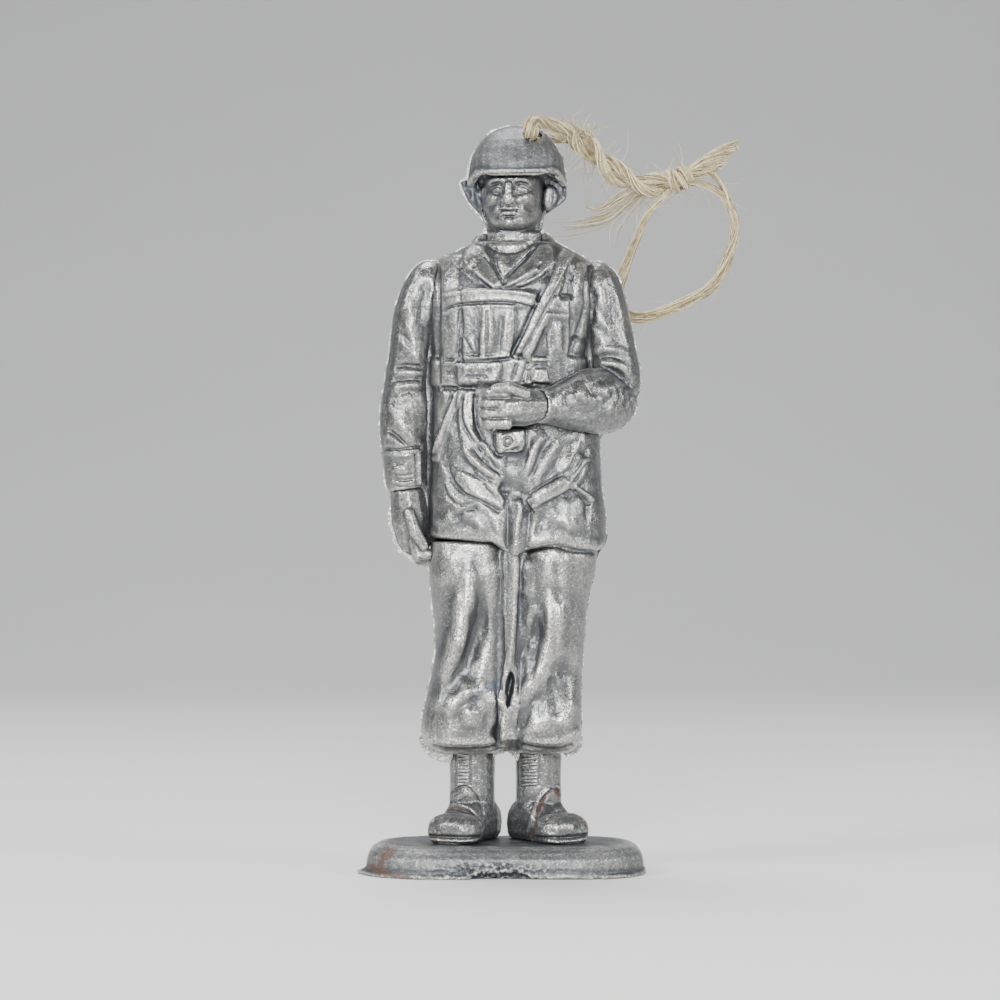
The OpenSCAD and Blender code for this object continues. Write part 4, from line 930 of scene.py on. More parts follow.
def makeFuzz(cordLine, loop, dice):  # loose fibres of the cord, the loop, the tuft and the knot
    many = twine["hairs"]
    picks = dice.integers(0, len(cordLine), many["cord"])
    ways = dice.normal(0, 1, (many["cord"], 3)) * (1, 0.6, 1)
    ways /= np.linalg.norm(ways, axis=1)[:, None]
    hairs = [looseHairs(cordLine[picks] + ways * 0.85, ways + (0.3, 0, -0.5), dice, (0.8, 3.4),
                        4.0, 0.026)]
    picks = dice.integers(0, len(loop), many["loop"])
    ways = np.gradient(loop, axis=0)[picks]
    ways /= np.linalg.norm(ways, axis=1)[:, None]
    hairs.append(looseHairs(loop[picks], ways, dice, (1.0, 3.6), 1.8, 0.022))
    foot = np.array(twine["tuftFoot"])
    feet = foot + dice.normal(0, 1, (many["tuft"], 3)) * (0.5, 0.35, 0.3)
    ways = dice.normal(0, 0.35, (many["tuft"], 3)) + (-0.12, -0.15, 1.0)
    hairs.append(looseHairs(feet, ways, dice, (0.7, 1.75), 1.6, 0.036))
    feet = foot + dice.normal(0, 1, (many["wild"], 3)) * (0.5, 0.3, 0.2)
    ways = dice.normal(0, 1, (many["wild"], 3)) * (1, 0.5, 1) + (0.2, 0, 0.5)
    hairs.append(looseHairs(feet, ways, dice, (2.0, 4.0), 4.5, 0.02, 20))
    feet = np.array(twine["knot"]) + dice.normal(0, 0.5, (many["knot"], 3))
    ways = dice.normal(0, 1, (many["knot"], 3)) * (1, 0.5, 1) + (-0.6, 0, 0.3)
    hairs.append(looseHairs(feet, ways, dice, (1.2, 3.6), 2.5, 0.022))
    hairs += [wisp(*plan, dice) for plan in twine["wisps"]]
    mesh = fibreMesh("twine_loose_fibres", [tubes(*group, 3) for group in hairs])
    return placed("twine_loose_fibres", mesh, juteMaterial, (), "twine")


def makeTwine():
    dice = np.random.default_rng(twine["seed"])
    cordLine = spaced(curved(twine["cordRoute"], 12), twine["cordSteps"])
    apart = twine["apart"] * twine["strandMm"]
    front, back = ply(cordLine, math.pi, apart), ply(cordLine, 0.0, apart)
    route = np.vstack([front[::-1][::8], twine["eyeRoute"], back[::8], twine["tailRoute"]])
    strand = spaced(curved(route, 8), twine["strandSteps"])
    loop = spaced(curved(twine["loopRoute"], 8), twine["loopSteps"])
    strandPiece = makeStrand(strand, dice)
    loopPiece = makeLoop(loop, dice)
    knotPiece = makeKnot(dice)
    fuzzPiece = makeFuzz(cordLine, loop, dice)
    lineLength(strand) * metre
    lineLength(loop) * metre
    print("twine", round(lineLength(strand), 1), "mm strand and", round(lineLength(loop), 1),
          "mm loop")


makeTwine()

# The jacket with its belt, webbing and pockets, moulded in one

tunic = {
    "nodes": ["jacket", "belt", "belt_buckle", "right_pocket", "left_pocket",
              "left_pocket_flap", "chest_strap", "right_shoulder_strap", "left_shoulder_strap",
              "sling_strap", "sling_end", "right_leg_strap", "left_leg_strap", "right_collar",
              "left_collar", "shirt_neck"],
    "voxelMm": 0.182,
    "rounds": 5,
    "lastRounds": 1,
    # what the mould leaves between the jacket and the arms
    "fills": [
        [(288, 423, 437, -1.3), (340, 421, 437, -1.2), (380, 420, 437, -1.15),
         (430, 420, 437, -1.15), (478, 420, 437, -1.1), (490, 419, 437, -0.7),
         (546, 419, 437, -0.7)],
        [(282, 585, 593, -1.7), (310, 584, 593, -1.7), (340, 583, 593, -1.35),
         (372, 583, 594, -1.2)],
        [(435.3, 505.2, 517, -4.59), (446.8, 505.2, 517, -4.65)],
    ],
    "finish": {"swellMm": 0.010, "swellSizeMm": 1.0, "grainMm": 0.005, "grainSizeMm": 0.35,
               "seed": 11},
    "strokes": [
        # collar and lapels
        ("fold", 0.16, 3.0, [(492, 239), (507, 246), (524, 243), (541, 232)]),
        ("line", -0.14, 2.2, [(486, 245), (501, 252), (520, 251), (543, 238)]),
        ("lap", 0.16, 12, [(541, 241), (522, 261), (502, 280)]),
        ("lap", -0.10, 12, [(484, 253), (494, 266), (502, 280)]),
        ("line", -0.14, 1.8, [(484, 254), (494, 266), (502, 279)]),
        ("line", -0.04, 1.8, [(541, 241), (522, 261), (502, 281)]),
        ("line", 0.12, 2.0, [(473.6, 268.8), (484, 279), (495, 288)]),
        ("line", -0.10, 1.8, [(470, 270), (481, 281), (492, 290)]),
        ("line", 0.12, 2.0, [(502, 288), (520, 278.5), (538, 268)]),
        ("line", -0.10, 1.8, [(503, 291), (521, 282), (540, 271)]),
        ("line", 0.12, 2.0, [(462.9, 271.4), (470, 266), (477, 260.7)]),
        ("line", -0.10, 1.8, [(477, 261), (473.5, 268)]),
        ("line", -0.10, 1.8, [(537, 268), (541, 262)]),
        ("fold", 0.10, 5, [(500, 256), (504, 266), (506, 272)]),
        # shoulders and webbing
        ("line", -0.16, 1.9, [(437.8, 252), (439, 300), (438, 345), (439.5, 388)]),
        ("line", -0.12, 1.9, [(460, 262), (460, 303), (458, 330), (455, 358)]),
        ("lap", 0.14, 9, [(441, 293.2), (461, 290), (493, 288.6), (520, 291), (540, 295)]),
        ("line", 0.10, 1.8, [(441, 295.2), (461, 292.2), (493, 290.8), (520, 293), (538, 297)]),
        ("line", -0.18, 1.7, [(441, 311), (459, 304.5), (493, 302.6), (515, 303.5), (533, 307.5)]),
        ("line", 0.10, 1.6, [(441, 314), (459, 307.5), (493, 305.5), (515, 306.5)]),
        ("line", -0.15, 1.9, [(557, 257), (548, 281), (536, 303), (523, 332), (510, 358)]),
        ("line", -0.15, 1.9, [(573, 258), (562, 281), (549, 304), (531, 338), (517, 362)]),
        ("line", 0.07, 1.6, [(560, 262), (551, 284), (539, 305), (526, 334), (513, 360)]),
        ("line", -0.14, 2.2, [(591.4, 262), (585, 285), (584.5, 309), (577, 336), (568, 360)]),
        ("line", -0.09, 2.0, [(577, 262), (571, 280), (569, 297)]),
        ("fold", 0.10, 3.0, [(580, 266), (577, 284), (575, 300)]),
        # pocket of the viewer's left
        ("line", -0.10, 1.8, [(461.5, 306), (462, 332), (459, 357)]),
        ("line", -0.13, 1.6, [(487, 309), (487, 357)]),
        ("fold", 0.07, 2.2, [(482, 326), (482, 357)]),
        ("fold", 0.07, 2.4, [(493, 312), (492, 357)]),
        ("fold", -0.08, 2.2, [(502, 309), (498.5, 357)]),
        ("fold", 0.07, 2.4, [(507, 309), (504, 352)]),
        ("line", -0.12, 1.8, [(463, 336), (469, 346), (474, 356)]),
        ("fold", 0.10, 3.0, [(468, 334), (473, 345), (478, 356)]),
        ("line", -0.08, 1.6, [(477, 338), (477, 357)]),
        ("line", -0.18, 1.8, [(456, 360.7), (480, 361), (511, 358.3)]),
        ("line", 0.12, 1.8, [(462, 357.5), (490, 357.6), (511, 355.3)]),
        # pocket of the viewer's right
        ("line", -0.14, 1.6, [(547, 310.5), (560, 312.5), (570, 314.5)]),
        ("line", 0.09, 1.6, [(560, 295), (570, 296.5)]),
        ("line", -0.08, 1.5, [(559, 298.5), (570, 300)]),
        ("line", -0.16, 2.0, [(571, 296), (571.5, 325), (570, 358)]),
        ("fold", -0.12, 4.0, [(579, 302), (577, 325), (573, 352)]),
        ("fold", 0.12, 3.5, [(556, 318), (558, 336), (560, 356)]),
        ("fold", -0.10, 3.0, [(550, 318), (552, 336), (552, 354)]),
        ("fold", -0.08, 2.5, [(564, 318), (565, 336), (564, 356)]),
        ("fold", 0.08, 3.5, [(538, 322), (534, 338), (531, 354)]),
        # belt, plate and square buckle
        ("line", -0.12, 1.7, [(456, 365), (456, 386)]),
        ("line", -0.14, 1.6, [(445, 359.5), (454, 359.8)]),
        ("line", -0.14, 1.6, [(445, 372.5), (454, 372.8)]),
        ("line", 0.10, 1.6, [(445, 362.5), (454, 362.8)]),
        ("patch", 0.22, 1.8, [(464, 366), (489, 366), (489, 376.5), (464, 376.5)]),
        ("fold", -0.08, 1.8, [(480, 372), (479, 380), (481, 387)]),
        ("line", -0.16, 1.9, [(440, 388), (460, 388.5), (478, 388)]),
        ("patch", 0.24, 1.2, [(535, 369), (546, 369), (549.5, 383), (532, 382)]),
        ("line", -0.14, 1.7, [(532, 384), (550, 385.5)]),
        ("line", -0.10, 1.7, [(529, 369), (528.5, 382)]),
        ("line", 0.12, 1.7, [(534, 359.5), (548, 359.5)]),
        ("line", -0.10, 1.6, [(533, 363), (549, 363)]),
        ("line", -0.12, 1.8, [(517, 363), (512, 380)]),
        ("line", -0.10, 1.8, [(528, 362), (521, 384)]),
        # straps and creases below the belt
        ("band", 0.14, 8, [(460, 391), (451, 413), (442, 438), (436, 458)]),
        ("line", 0.15, 2.0, [(457.5, 391), (449, 413), (440, 438), (434.5, 455)]),
        ("line", -0.15, 2.2, [(452, 394), (444, 415), (436, 438)]),
        ("line", -0.14, 2.0, [(462.9, 391), (461.5, 418), (470, 436), (484, 452)]),
        ("line", 0.12, 2.2, [(466, 391), (465, 417), (474, 436), (490, 458)]),
        ("line", -0.13, 2.0, [(475.4, 393), (475.4, 421), (484, 440), (497, 460)]),
        ("fold", 0.16, 3.0, [(478, 432), (487, 446), (498, 462), (506, 476)]),
        ("fold", -0.16, 2.6, [(468, 438), (480, 456), (494, 470), (504, 479)]),
        ("fold", 0.20, 3.0, [(462, 445), (478, 464), (492, 474), (504, 479)]),
        ("fold", -0.14, 2.4, [(458, 452), (470, 466), (486, 477), (500, 484)]),
        ("fold", 0.14, 2.6, [(480, 437), (492, 455), (500, 470)]),
        ("line", -0.13, 2.0, [(441, 465), (447, 466), (454, 483), (466, 494), (482, 501),
                              (497, 510.5), (503, 509)]),
        ("patch", 0.16, 1.8, [(458, 470), (475, 477), (491, 484), (506, 500), (502, 508),
                              (484, 501), (466, 493), (456, 480)]),
        ("line", -0.12, 1.8, [(443, 483), (448, 497), (459, 505), (470, 504)]),
        ("line", 0.10, 1.8, [(446, 481), (451, 493), (461, 501)]),
        ("line", -0.12, 2.2, [(477, 508), (464, 511), (452, 521)]),
        ("fold", 0.16, 6.0, [(431, 529), (444, 524), (456, 514)]),
        ("fold", 0.10, 5.0, [(485, 512), (495, 520), (500, 532)]),
        ("fold", 0.08, 5.0, [(470, 516), (480, 524), (484, 534)]),
        # the tab's hollow and the middle valley
        ("fold", -0.22, 9.0, [(500, 456), (516, 456), (530, 449)]),
        ("line", -0.14, 1.8, [(494, 451), (501, 455), (520, 447)]),
        ("patch", 0.14, 1.6, [(494, 432), (520, 431), (524, 440), (519, 446), (500, 453),
                              (494, 446)]),
        ("line", -0.15, 1.2, [(503.4, 441.4), (504.8, 438.4), (507.6, 437.1), (510.5, 438.4),
                              (511.8, 441.4), (510.5, 444.4), (507.6, 445.7), (504.8, 444.4),
                              (503.4, 441.4)]),
        ("line", 0.10, 1.2, [(500.8, 441.4), (503, 436.6), (507.6, 434.7), (512.3, 436.6),
                             (514.4, 441.4), (512.3, 446.2), (507.6, 448.1), (503, 446.2),
                             (500.8, 441.4)]),
        ("fold", -0.30, 9.0, [(496, 480), (509, 489), (517, 492), (530, 487)]),
        ("line", -0.26, 4.0, [(506, 490), (507.5, 515), (507, 549)]),
        ("line", -0.18, 4.0, [(530, 500), (528, 525), (525, 547)]),
        ("line", 0.34, 3.2, [(517, 499), (520, 510), (516.4, 526), (515, 551)]),
        # right of the picture: fans and strap
        ("fold", 0.24, 3.4, [(541, 431), (534, 449), (529, 464), (523, 481)]),
        ("fold", -0.20, 3.2, [(549, 437), (541, 453), (534, 470), (528, 482)]),
        ("fold", 0.20, 3.2, [(559, 434), (549, 455), (541, 470), (533, 483)]),
        ("fold", -0.16, 3.0, [(568, 437), (560, 455), (550, 472), (535, 487)]),
        ("fold", 0.20, 3.2, [(582, 434), (574, 452), (566, 466), (556, 478)]),
        ("fold", -0.12, 3.0, [(590, 440), (584, 458), (575, 474)]),
        ("patch", 0.15, 1.6, [(561, 477), (571, 482), (566, 490), (537, 505), (531, 494)]),
        ("line", -0.20, 1.9, [(573, 489), (560, 497), (545, 505), (527, 514)]),
        ("line", -0.10, 1.7, [(560, 475), (546, 483), (532, 492)]),
        ("line", 0.12, 1.7, [(571, 481), (579, 470), (587, 458)]),
        ("line", -0.10, 1.7, [(574, 482), (582, 471), (590, 460)]),
        ("line", 0.16, 1.9, [(574, 486), (584, 493), (594, 501)]),
        ("line", -0.14, 1.9, [(573, 490), (582, 497), (591, 505)]),
        ("fold", 0.22, 11.0, [(571, 494), (571, 512), (569, 530)]),
        ("fold", -0.14, 3.0, [(580, 490), (586, 503), (588, 520)]),
        ("fold", -0.12, 4.0, [(545, 512), (540, 522), (536, 533)]),
        # the hem, which lifts at the middle of each skirt
        ("fold", 0.08, 5, [(436, 530), (454, 531), (477, 533), (493, 534)]),
        ("fold", 0.08, 5, [(528, 540), (544, 537), (556, 536), (571, 539), (596, 542)]),
    ],
    "hemZ": 26.4,
    "hemRollMm": 0.12,
    # the front hem's droop in mm along x in mm
    "hemDroop": ([-6.1, -4.2, -2.2, -0.8, 0.3, 1.2, 2.0, 3.3, 4.4, 5.6, 7.6, 8.6],
                 [0.35, 0.15, 0.05, -0.05, -0.75, -1.0, -0.6, -0.3, -0.2, -0.5, -0.75, -0.3]),
    "backStrokes": [
        ("lap", 0.16, 9, [(585, 300), (540, 306), (513, 308), (486, 306), (445, 300)]),
        ("fold", 0.14, 5, [(513, 312), (512, 335), (513, 356)]),
        ("fold", -0.12, 6, [(480, 330), (490, 346), (497, 358)]),
        ("fold", -0.12, 6, [(548, 330), (538, 346), (531, 358)]),
        ("line", -0.14, 2.2, [(440, 360), (480, 361), (520, 361), (590, 360)]),
        ("line", -0.14, 2.2, [(440, 388), (480, 389), (520, 389), (595, 388)]),
        ("fold", -0.20, 5, [(513, 392), (512, 440), (514, 500), (513, 545)]),
        ("fold", 0.14, 7, [(480, 392), (474, 430), (466, 480), (460, 536)]),
        ("fold", 0.14, 7, [(550, 392), (556, 430), (564, 480), (570, 540)]),
        ("fold", -0.10, 6, [(462, 392), (452, 430), (446, 470)]),
        ("fold", -0.10, 6, [(572, 392), (582, 430), (588, 470)]),
        ("lap", 0.12, 9, [(480, 246), (505, 258), (520, 259), (546, 246)]),
    ],
}


def makeTunic():
    skin = fusedSkin(tunic, tunic["nodes"], [fillBetween(rows) for rows in tunic["fills"]])
    carve(skin, tunic["strokes"])
    carve(skin, tunic["backStrokes"], front=False)
    points, normals = readPoints(skin), readNormals(skin)
    droop = np.interp(points[:, 0], *tunic["hemDroop"]) * eased((0.6 - points[:, 1]) / 2.4)
    low = tunic["hemZ"]
    points[:, 2] += droop * eased((low + 2.6 - points[:, 2]) / 2.2)
    # cloth rolls out a little at its edge
    rolled = tunic["hemRollMm"] * eased((low + droop + 1.1 - points[:, 2]) / 0.9)
    points[:, :2] += normals[:, :2] * (rolled * (1 - normals[:, 2] ** 2))[:, None]
    writePoints(skin, points)
    finished("jacket_and_webbing", skin, tunic, tunic["nodes"], plainSilver)


makeTunic()

# Arms and hands

arms = {
    "voxelMm": 0.13,
    "rounds": 20,
    "lastRounds": 1,
    "wrinkleMm": 0.07,  # cloth wrinkles round the back of the sleeve too
    "wrinkleSizeMm": 2.3,
    "wrinkleSeed": 31,
    "finish": {"swellMm": 0.010, "swellSizeMm": 0.95, "grainMm": 0.005, "grainSizeMm": 0.35,
               "seed": 21},
    "rightNodes": ["right_sleeve", "right_cuff"],
    "leftNodes": ["left_upper_sleeve", "left_forearm"],
    "rightStrokes": [
        ("fold", 0.10, 6, [(424, 262), (410, 290), (402, 320)]),
        ("fold", -0.10, 5, [(431, 275), (422, 310), (416, 340)]),
        ("fold", 0.12, 5, [(428, 290), (427, 330), (425, 360)]),
        ("fold", 0.10, 4, [(405, 318), (412, 334), (421, 348)]),
        ("fold", 0.08, 4, [(399, 336), (408, 350), (420, 360)]),
        ("fold", -0.16, 2.6, [(391, 367), (404, 365.5), (420, 367), (428, 369)]),
        ("fold", 0.14, 3.0, [(392, 374), (406, 372), (420, 373), (427, 375)]),
        ("fold", -0.14, 3.2, [(391, 382), (404, 379), (424, 380)]),
        ("fold", 0.16, 3.0, [(390, 394), (397, 387.5), (412, 385), (426, 387)]),
        ("fold", -0.10, 3.4, [(390, 401), (402, 393), (420, 391)]),
        ("fold", 0.10, 6.0, [(394, 402), (402, 420), (409, 438)]),
        ("fold", 0.10, 4.0, [(424, 390), (425, 415), (424, 440)]),
        ("fold", -0.18, 1.9, [(385, 428), (394, 434), (403, 442), (411, 448)]),
        ("fold", 0.12, 2.0, [(384, 433), (393, 439), (401, 445)]),
        ("line", -0.16, 1.7, [(384, 449), (398, 449.5), (415, 447.5), (423, 448)]),
        ("fold", 0.12, 2.0, [(388, 454.5), (402, 455.5), (418, 453)]),
        ("fold", 0.12, 5.0, [(393, 466), (400, 470), (407, 466)]),
        ("fold", -0.08, 1.6, [(391, 461), (398, 464), (406, 461)]),
        ("line", -0.07, 1.2, [(391, 473), (402, 475.5), (413, 474)]),
        ("line", -0.07, 1.2, [(391, 477.5), (402, 480), (414, 479)]),
        ("line", 0.07, 1.2, [(391, 480.5), (402, 483), (415, 482)]),
        ("line", -0.10, 1.5, [(393, 485.5), (404, 487.5), (416, 487), (424, 486)]),
        ("line", 0.09, 1.6, [(419, 452), (420, 468), (420.5, 486)]),
        ("line", -0.06, 1.4, [(415.5, 452), (416, 470), (416.5, 486)]),
    ],
    "leftStrokes": [
        ("fold", 0.13, 6, [(596, 268), (601, 290), (603, 318)]),
        ("fold", -0.10, 4, [(604, 278), (610, 300), (613, 325)]),
        ("fold", 0.10, 5, [(611, 280), (619, 304), (624, 330)]),
        ("fold", -0.14, 4, [(592, 285), (593, 310), (588, 335)]),
        ("fold", 0.14, 5, [(586, 300), (582, 325), (577, 345)]),
        ("line", -0.14, 2.2, [(591.4, 264), (585, 285), (584.5, 309), (577, 336)]),
        ("fold", 0.14, 3.6, [(588, 354), (606, 349), (622, 351), (631, 358)]),
        ("fold", -0.14, 3.2, [(588, 361), (606, 356), (621, 359), (631, 367)]),
        ("fold", 0.14, 3.4, [(593, 366), (609, 363), (622, 368), (633, 379)]),
        ("fold", -0.12, 3.0, [(592, 371), (609, 370), (621, 377), (630, 387)]),
        ("fold", 0.10, 3.4, [(590, 375), (606, 377), (618, 384), (627, 393)]),
        ("fold", -0.20, 3.0, [(541, 392), (553, 386), (568, 377), (586, 366), (598, 360)]),
        ("fold", 0.12, 4.0, [(545, 396), (560, 389), (576, 381), (590, 373)]),
        ("line", -0.12, 2.0, [(541, 394), (540, 404), (542, 416)]),
        ("line", 0.10, 2.2, [(545, 392), (544, 404), (546, 416)]),
        ("fold", 0.12, 3.4, [(560, 390), (556, 401), (559, 412)]),
        ("fold", -0.10, 2.8, [(568, 386), (564, 399), (567, 411)]),
        ("fold", 0.12, 3.4, [(577, 383), (581, 394), (590, 403)]),
        ("fold", -0.10, 2.8, [(585, 380), (591, 391), (601, 399)]),
        ("fold", 0.10, 3.2, [(594, 382), (602, 391), (612, 397)]),
        ("fold", 0.10, 4.0, [(568, 415), (585, 417), (602, 412)]),
    ],
}


def makeArm(name, side, seedShift):
    nodes = arms[side + "Nodes"]
    skin = fusedSkin(arms, nodes)
    carve(skin, arms[side + "Strokes"])
    points, normals = readPoints(skin), readNormals(skin)
    behind = eased((normals[:, 1] + 0.25) / 0.5)
    wrinkles = waves(points * (0.45, 0.45, 1.0), arms["wrinkleSizeMm"],
                     arms["wrinkleSeed"] + seedShift, 14)
    writePoints(skin, points + normals * (arms["wrinkleMm"] * behind * wrinkles)[:, None])
    finish = {**arms["finish"], "seed": arms["finish"]["seed"] + seedShift}
    finished(name, skin, {**arms, "finish": finish}, nodes, plainSilver)


makeArm("right_arm", "right", 0)
makeArm("left_arm", "left", 3)

hands = {
    "voxelMm": 0.08,
    "rounds": 3,
    "finish": {"swellMm": 0.010, "swellSizeMm": 0.8, "grainMm": 0.003, "grainSizeMm": 0.3,
               "seed": 41},
}

for handName, handNode in (("straight_hand", "right_hand"), ("fist", "left_hand")):
    handSkin = fusedSkin(hands, [handNode], finer=False)
    finished(handName, handSkin, hands, [handNode], plainSilver)

# Trousers and their web

trousers = {
    "nodes": ["right_trouser_leg", "left_trouser_leg", "inseam_web"],
    # the legs run into the web between them
    "fills": [
        [(542, 493, 507, -3.0), (560, 493, 507, -2.95), (600, 493, 507, -2.8),
         (640, 493, 507, -2.65), (680, 493, 507, -2.65), (720, 490, 507, -2.5),
         (749, 489, 507, -2.0)],
        [(542, 514, 527, -2.95), (600, 514, 526, -2.8), (640, 514, 526, -2.75),
         (700, 514, 524, -2.75)],
    ],
    "voxelMm": 0.18,
    "rounds": 9,
    "clothRounds": 5,
    "lastRounds": 1,
    "finish": {"swellMm": 0.007, "swellSizeMm": 1.2, "grainMm": 0.004, "grainSizeMm": 0.4,
               "seed": 51},
    "creases": {"soft": 6, "narrow": 0.3, "broadRounds": 100},
    "strokes": [
        ("line", -0.10, 2.6, [(430, 538), (454, 540), (477, 541.5), (493, 543), (506, 551)]),
        ("line", -0.22, 2.6, [(524, 551), (544, 546.5), (556, 546), (571, 550), (597, 553)]),
        ("fold", 0.16, 8, [(450, 545), (448, 565), (446, 592)]),
        ("fold", -0.12, 7, [(459, 556), (457, 575), (452, 606)]),
        ("fold", 0.56, 9, [(461, 566), (467, 592), (464, 616), (458, 645), (447, 675), (434, 696)]),
        ("fold", -0.50, 11, [(488, 588), (481, 620), (474, 641), (463, 663), (451, 680), (440, 693),
                             (430, 707)]),
        ("fold", 0.14, 10, [(495, 556), (494, 590), (492, 622)]),
        ("fold", 0.24, 7, [(486, 688), (468, 692), (453, 701), (447, 720)]),
        ("fold", -0.16, 5, [(484, 697), (468, 702), (459, 714), (459, 728)]),
        ("fold", 0.22, 8, [(474, 706), (471, 716), (469, 730)]),
        ("fold", 0.16, 5, [(495, 690), (495, 712), (492, 734)]),
        ("fold", -0.12, 4, [(486, 708), (485, 722), (483, 736)]),
        ("line", 0.14, 3.4, [(427, 737), (440, 741.5), (455, 743.5), (487, 742.5), (497, 738)]),
        ("line", -0.20, 2.6, [(430, 746), (455, 750), (487, 749), (497, 745)]),
        ("line", -0.13, 3.0, [(506.5, 546), (506, 590), (505, 635), (504, 668)]),
        ("line", -0.12, 3.0, [(519, 590), (518, 625), (516.5, 650), (515, 690)]),
        ("line", 0.26, 3.2, [(515, 545), (514, 611), (511.5, 645), (508.4, 672)]),
        ("patch", -0.9, 1.6, [(510.6, 672), (514, 680), (512, 692), (508, 707), (504.6, 700),
                              (507, 684)]),
        ("line", 0.16, 2.2, [(508, 670), (503, 684), (501, 704), (503, 726), (504, 750)]),
        ("line", 0.18, 2.4, [(502, 690), (502, 716), (504.5, 742)]),
        ("fold", 0.18, 8, [(528, 556), (526, 578), (528, 604)]),
        ("fold", 0.18, 7, [(546, 548), (545, 572), (543, 592)]),
        ("fold", -0.12, 6, [(555, 552), (558, 582), (558, 612)]),
        ("fold", 0.12, 5, [(562, 548), (563, 575), (562, 600)]),
        ("fold", 0.56, 7, [(540, 580), (549, 604), (551, 632), (545, 660), (534, 688), (522, 716)]),
        ("patch", -0.24, 7.0, [(537, 620), (541, 636), (532, 654), (521, 668), (517, 662),
                               (524, 640)]),
        ("fold", 0.16, 3.4, [(535, 640), (529, 651), (521, 663)]),
        ("fold", 0.12, 5, [(540, 604), (532, 614), (525, 628)]),
        ("fold", 0.26, 4.4, [(533, 676), (521, 700), (513, 728)]),
        ("fold", -0.26, 4.4, [(540, 688), (529, 708), (521, 734)]),
        ("fold", -0.36, 9, [(563, 650), (557, 672), (547, 697), (537, 724)]),
        ("fold", 0.14, 9, [(575, 696), (567, 714), (556, 731)]),
        ("fold", 0.10, 7, [(577, 596), (577, 640), (574, 680)]),
        ("line", 0.14, 3.4, [(522, 738), (538, 742), (556, 742), (572, 736), (579, 728)]),
        ("line", -0.20, 2.6, [(520, 745), (540, 749), (562, 749), (574, 744)]),
    ],
    "backStrokes": [
        ("fold", 0.24, 8, [(460, 560), (455, 600), (450, 650), (444, 700)]),
        ("fold", -0.24, 8, [(478, 560), (474, 610), (468, 660), (462, 715)]),
        ("fold", 0.20, 7, [(490, 600), (486, 640), (484, 700)]),
        ("fold", -0.20, 7, [(536, 570), (540, 620), (536, 670), (530, 715)]),
        ("fold", 0.26, 8, [(552, 560), (556, 610), (552, 660), (548, 710)]),
        ("fold", -0.20, 7, [(570, 600), (570, 650), (566, 710)]),
        ("fold", -0.20, 5, [(440, 640), (470, 648), (495, 640)]),
        ("fold", -0.20, 5, [(530, 640), (555, 650), (580, 642)]),
        ("line", -0.26, 3, [(508, 550), (506, 600), (505, 660), (503, 740)]),
        ("line", -0.26, 3, [(521, 550), (519, 600), (518, 660), (515, 740)]),
        ("line", 0.14, 3.0, [(427, 738), (455, 743), (497, 738)]),
        ("line", 0.14, 3.0, [(520, 738), (552, 743), (580, 734)]),
    ],
    "stains": {"ink": [(0.34, 6, [(474, 694), (484, 690), (496, 686)])]},
}


def makeTrousers():
    skin = fusedSkin(trousers, trousers["nodes"],
                     [fillBetween(rows) for rows in trousers["fills"]])
    carve(skin, trousers["strokes"])
    carve(skin, trousers["backStrokes"], front=False)
    smoothed(skin, trousers["clothRounds"])
    finished("trousers", skin, trousers, trousers["nodes"], stainedSilver)


makeTrousers()

# Boots

boots = {
    "nodes": ["right_boot", "left_boot"],
    "voxelMm": 0.11,
    "rounds": 4,
    "finish": {"swellMm": 0.012, "swellSizeMm": 1.0, "grainMm": 0.004, "grainSizeMm": 0.35,
               "seed": 61},
    # laces: left and right x, top and bottom y and the step, in photograph pixels
    "laces": [(457.5, 468, 755, 787, 3.3), (521, 537, 755, 787, 3.3)],
    "laceMm": 0.05,
    "laceGapMm": -0.035,
    "laceEdgeMm": -0.06,
    "strokes": [
        ("line", -0.10, 1.7, [(449, 793), (457, 789), (466, 787), (477, 798), (484, 818)]),
        ("line", -0.18, 2.0, [(431, 822), (440, 812), (455, 808), (471, 814), (480, 826)]),
        ("line", 0.12, 2.0, [(431, 818), (440, 808), (455, 804), (471, 810), (481, 822)]),
        ("fold", 0.18, 7.0, [(434, 829), (450, 824), (470, 829)]),
        ("line", -0.18, 1.8, [(427, 835.5), (445, 837), (468, 837.5), (484, 837)]),
        ("line", 0.10, 1.6, [(427, 839), (445, 840.5), (468, 841), (484, 840)]),
        ("fold", 0.08, 5.0, [(458, 793), (462, 800)]),
        ("line", -0.16, 1.9, [(554, 788), (543, 799), (536, 815), (531, 838)]),
        ("line", 0.12, 1.9, [(551, 787), (540, 798), (533, 814), (528, 834)]),
        ("line", -0.16, 1.9, [(554, 788), (566, 799), (577, 812), (590, 822)]),
        ("line", 0.12, 1.9, [(556, 785), (569, 796), (580, 808), (592, 820)]),
        ("line", -0.18, 2.0, [(540, 826), (551, 815), (564, 812), (578, 814), (590, 827)]),
        ("fold", 0.18, 7.0, [(548, 829), (562, 825), (580, 829)]),
        ("line", -0.18, 1.8, [(530, 837), (548, 838), (572, 837), (592, 834)]),
        ("line", 0.10, 1.6, [(530, 841), (548, 842), (572, 841), (592, 838)]),
    ],
    "stains": {
        "rust": [
            (0.9, 2.6, [(441, 812), (449, 809), (458, 808), (470, 812)]),
            (0.8, 2.2, [(433, 830), (436, 836), (446, 838)]),
            (0.5, 1.6, [(470, 812), (477, 820), (481, 832)]),
            (0.3, 1.4, [(449, 795), (455, 790), (466, 787)]),
            (0.9, 3.2, [(554, 789), (544, 799), (538, 811)]),
            (0.8, 2.6, [(538, 811), (535, 824), (531, 838)]),
            (0.9, 4.2, [(554, 789), (564, 798), (576, 812), (588, 822)]),
            (0.5, 3.0, [(576, 812), (587, 824), (588, 836)]),
        ],
    },
}


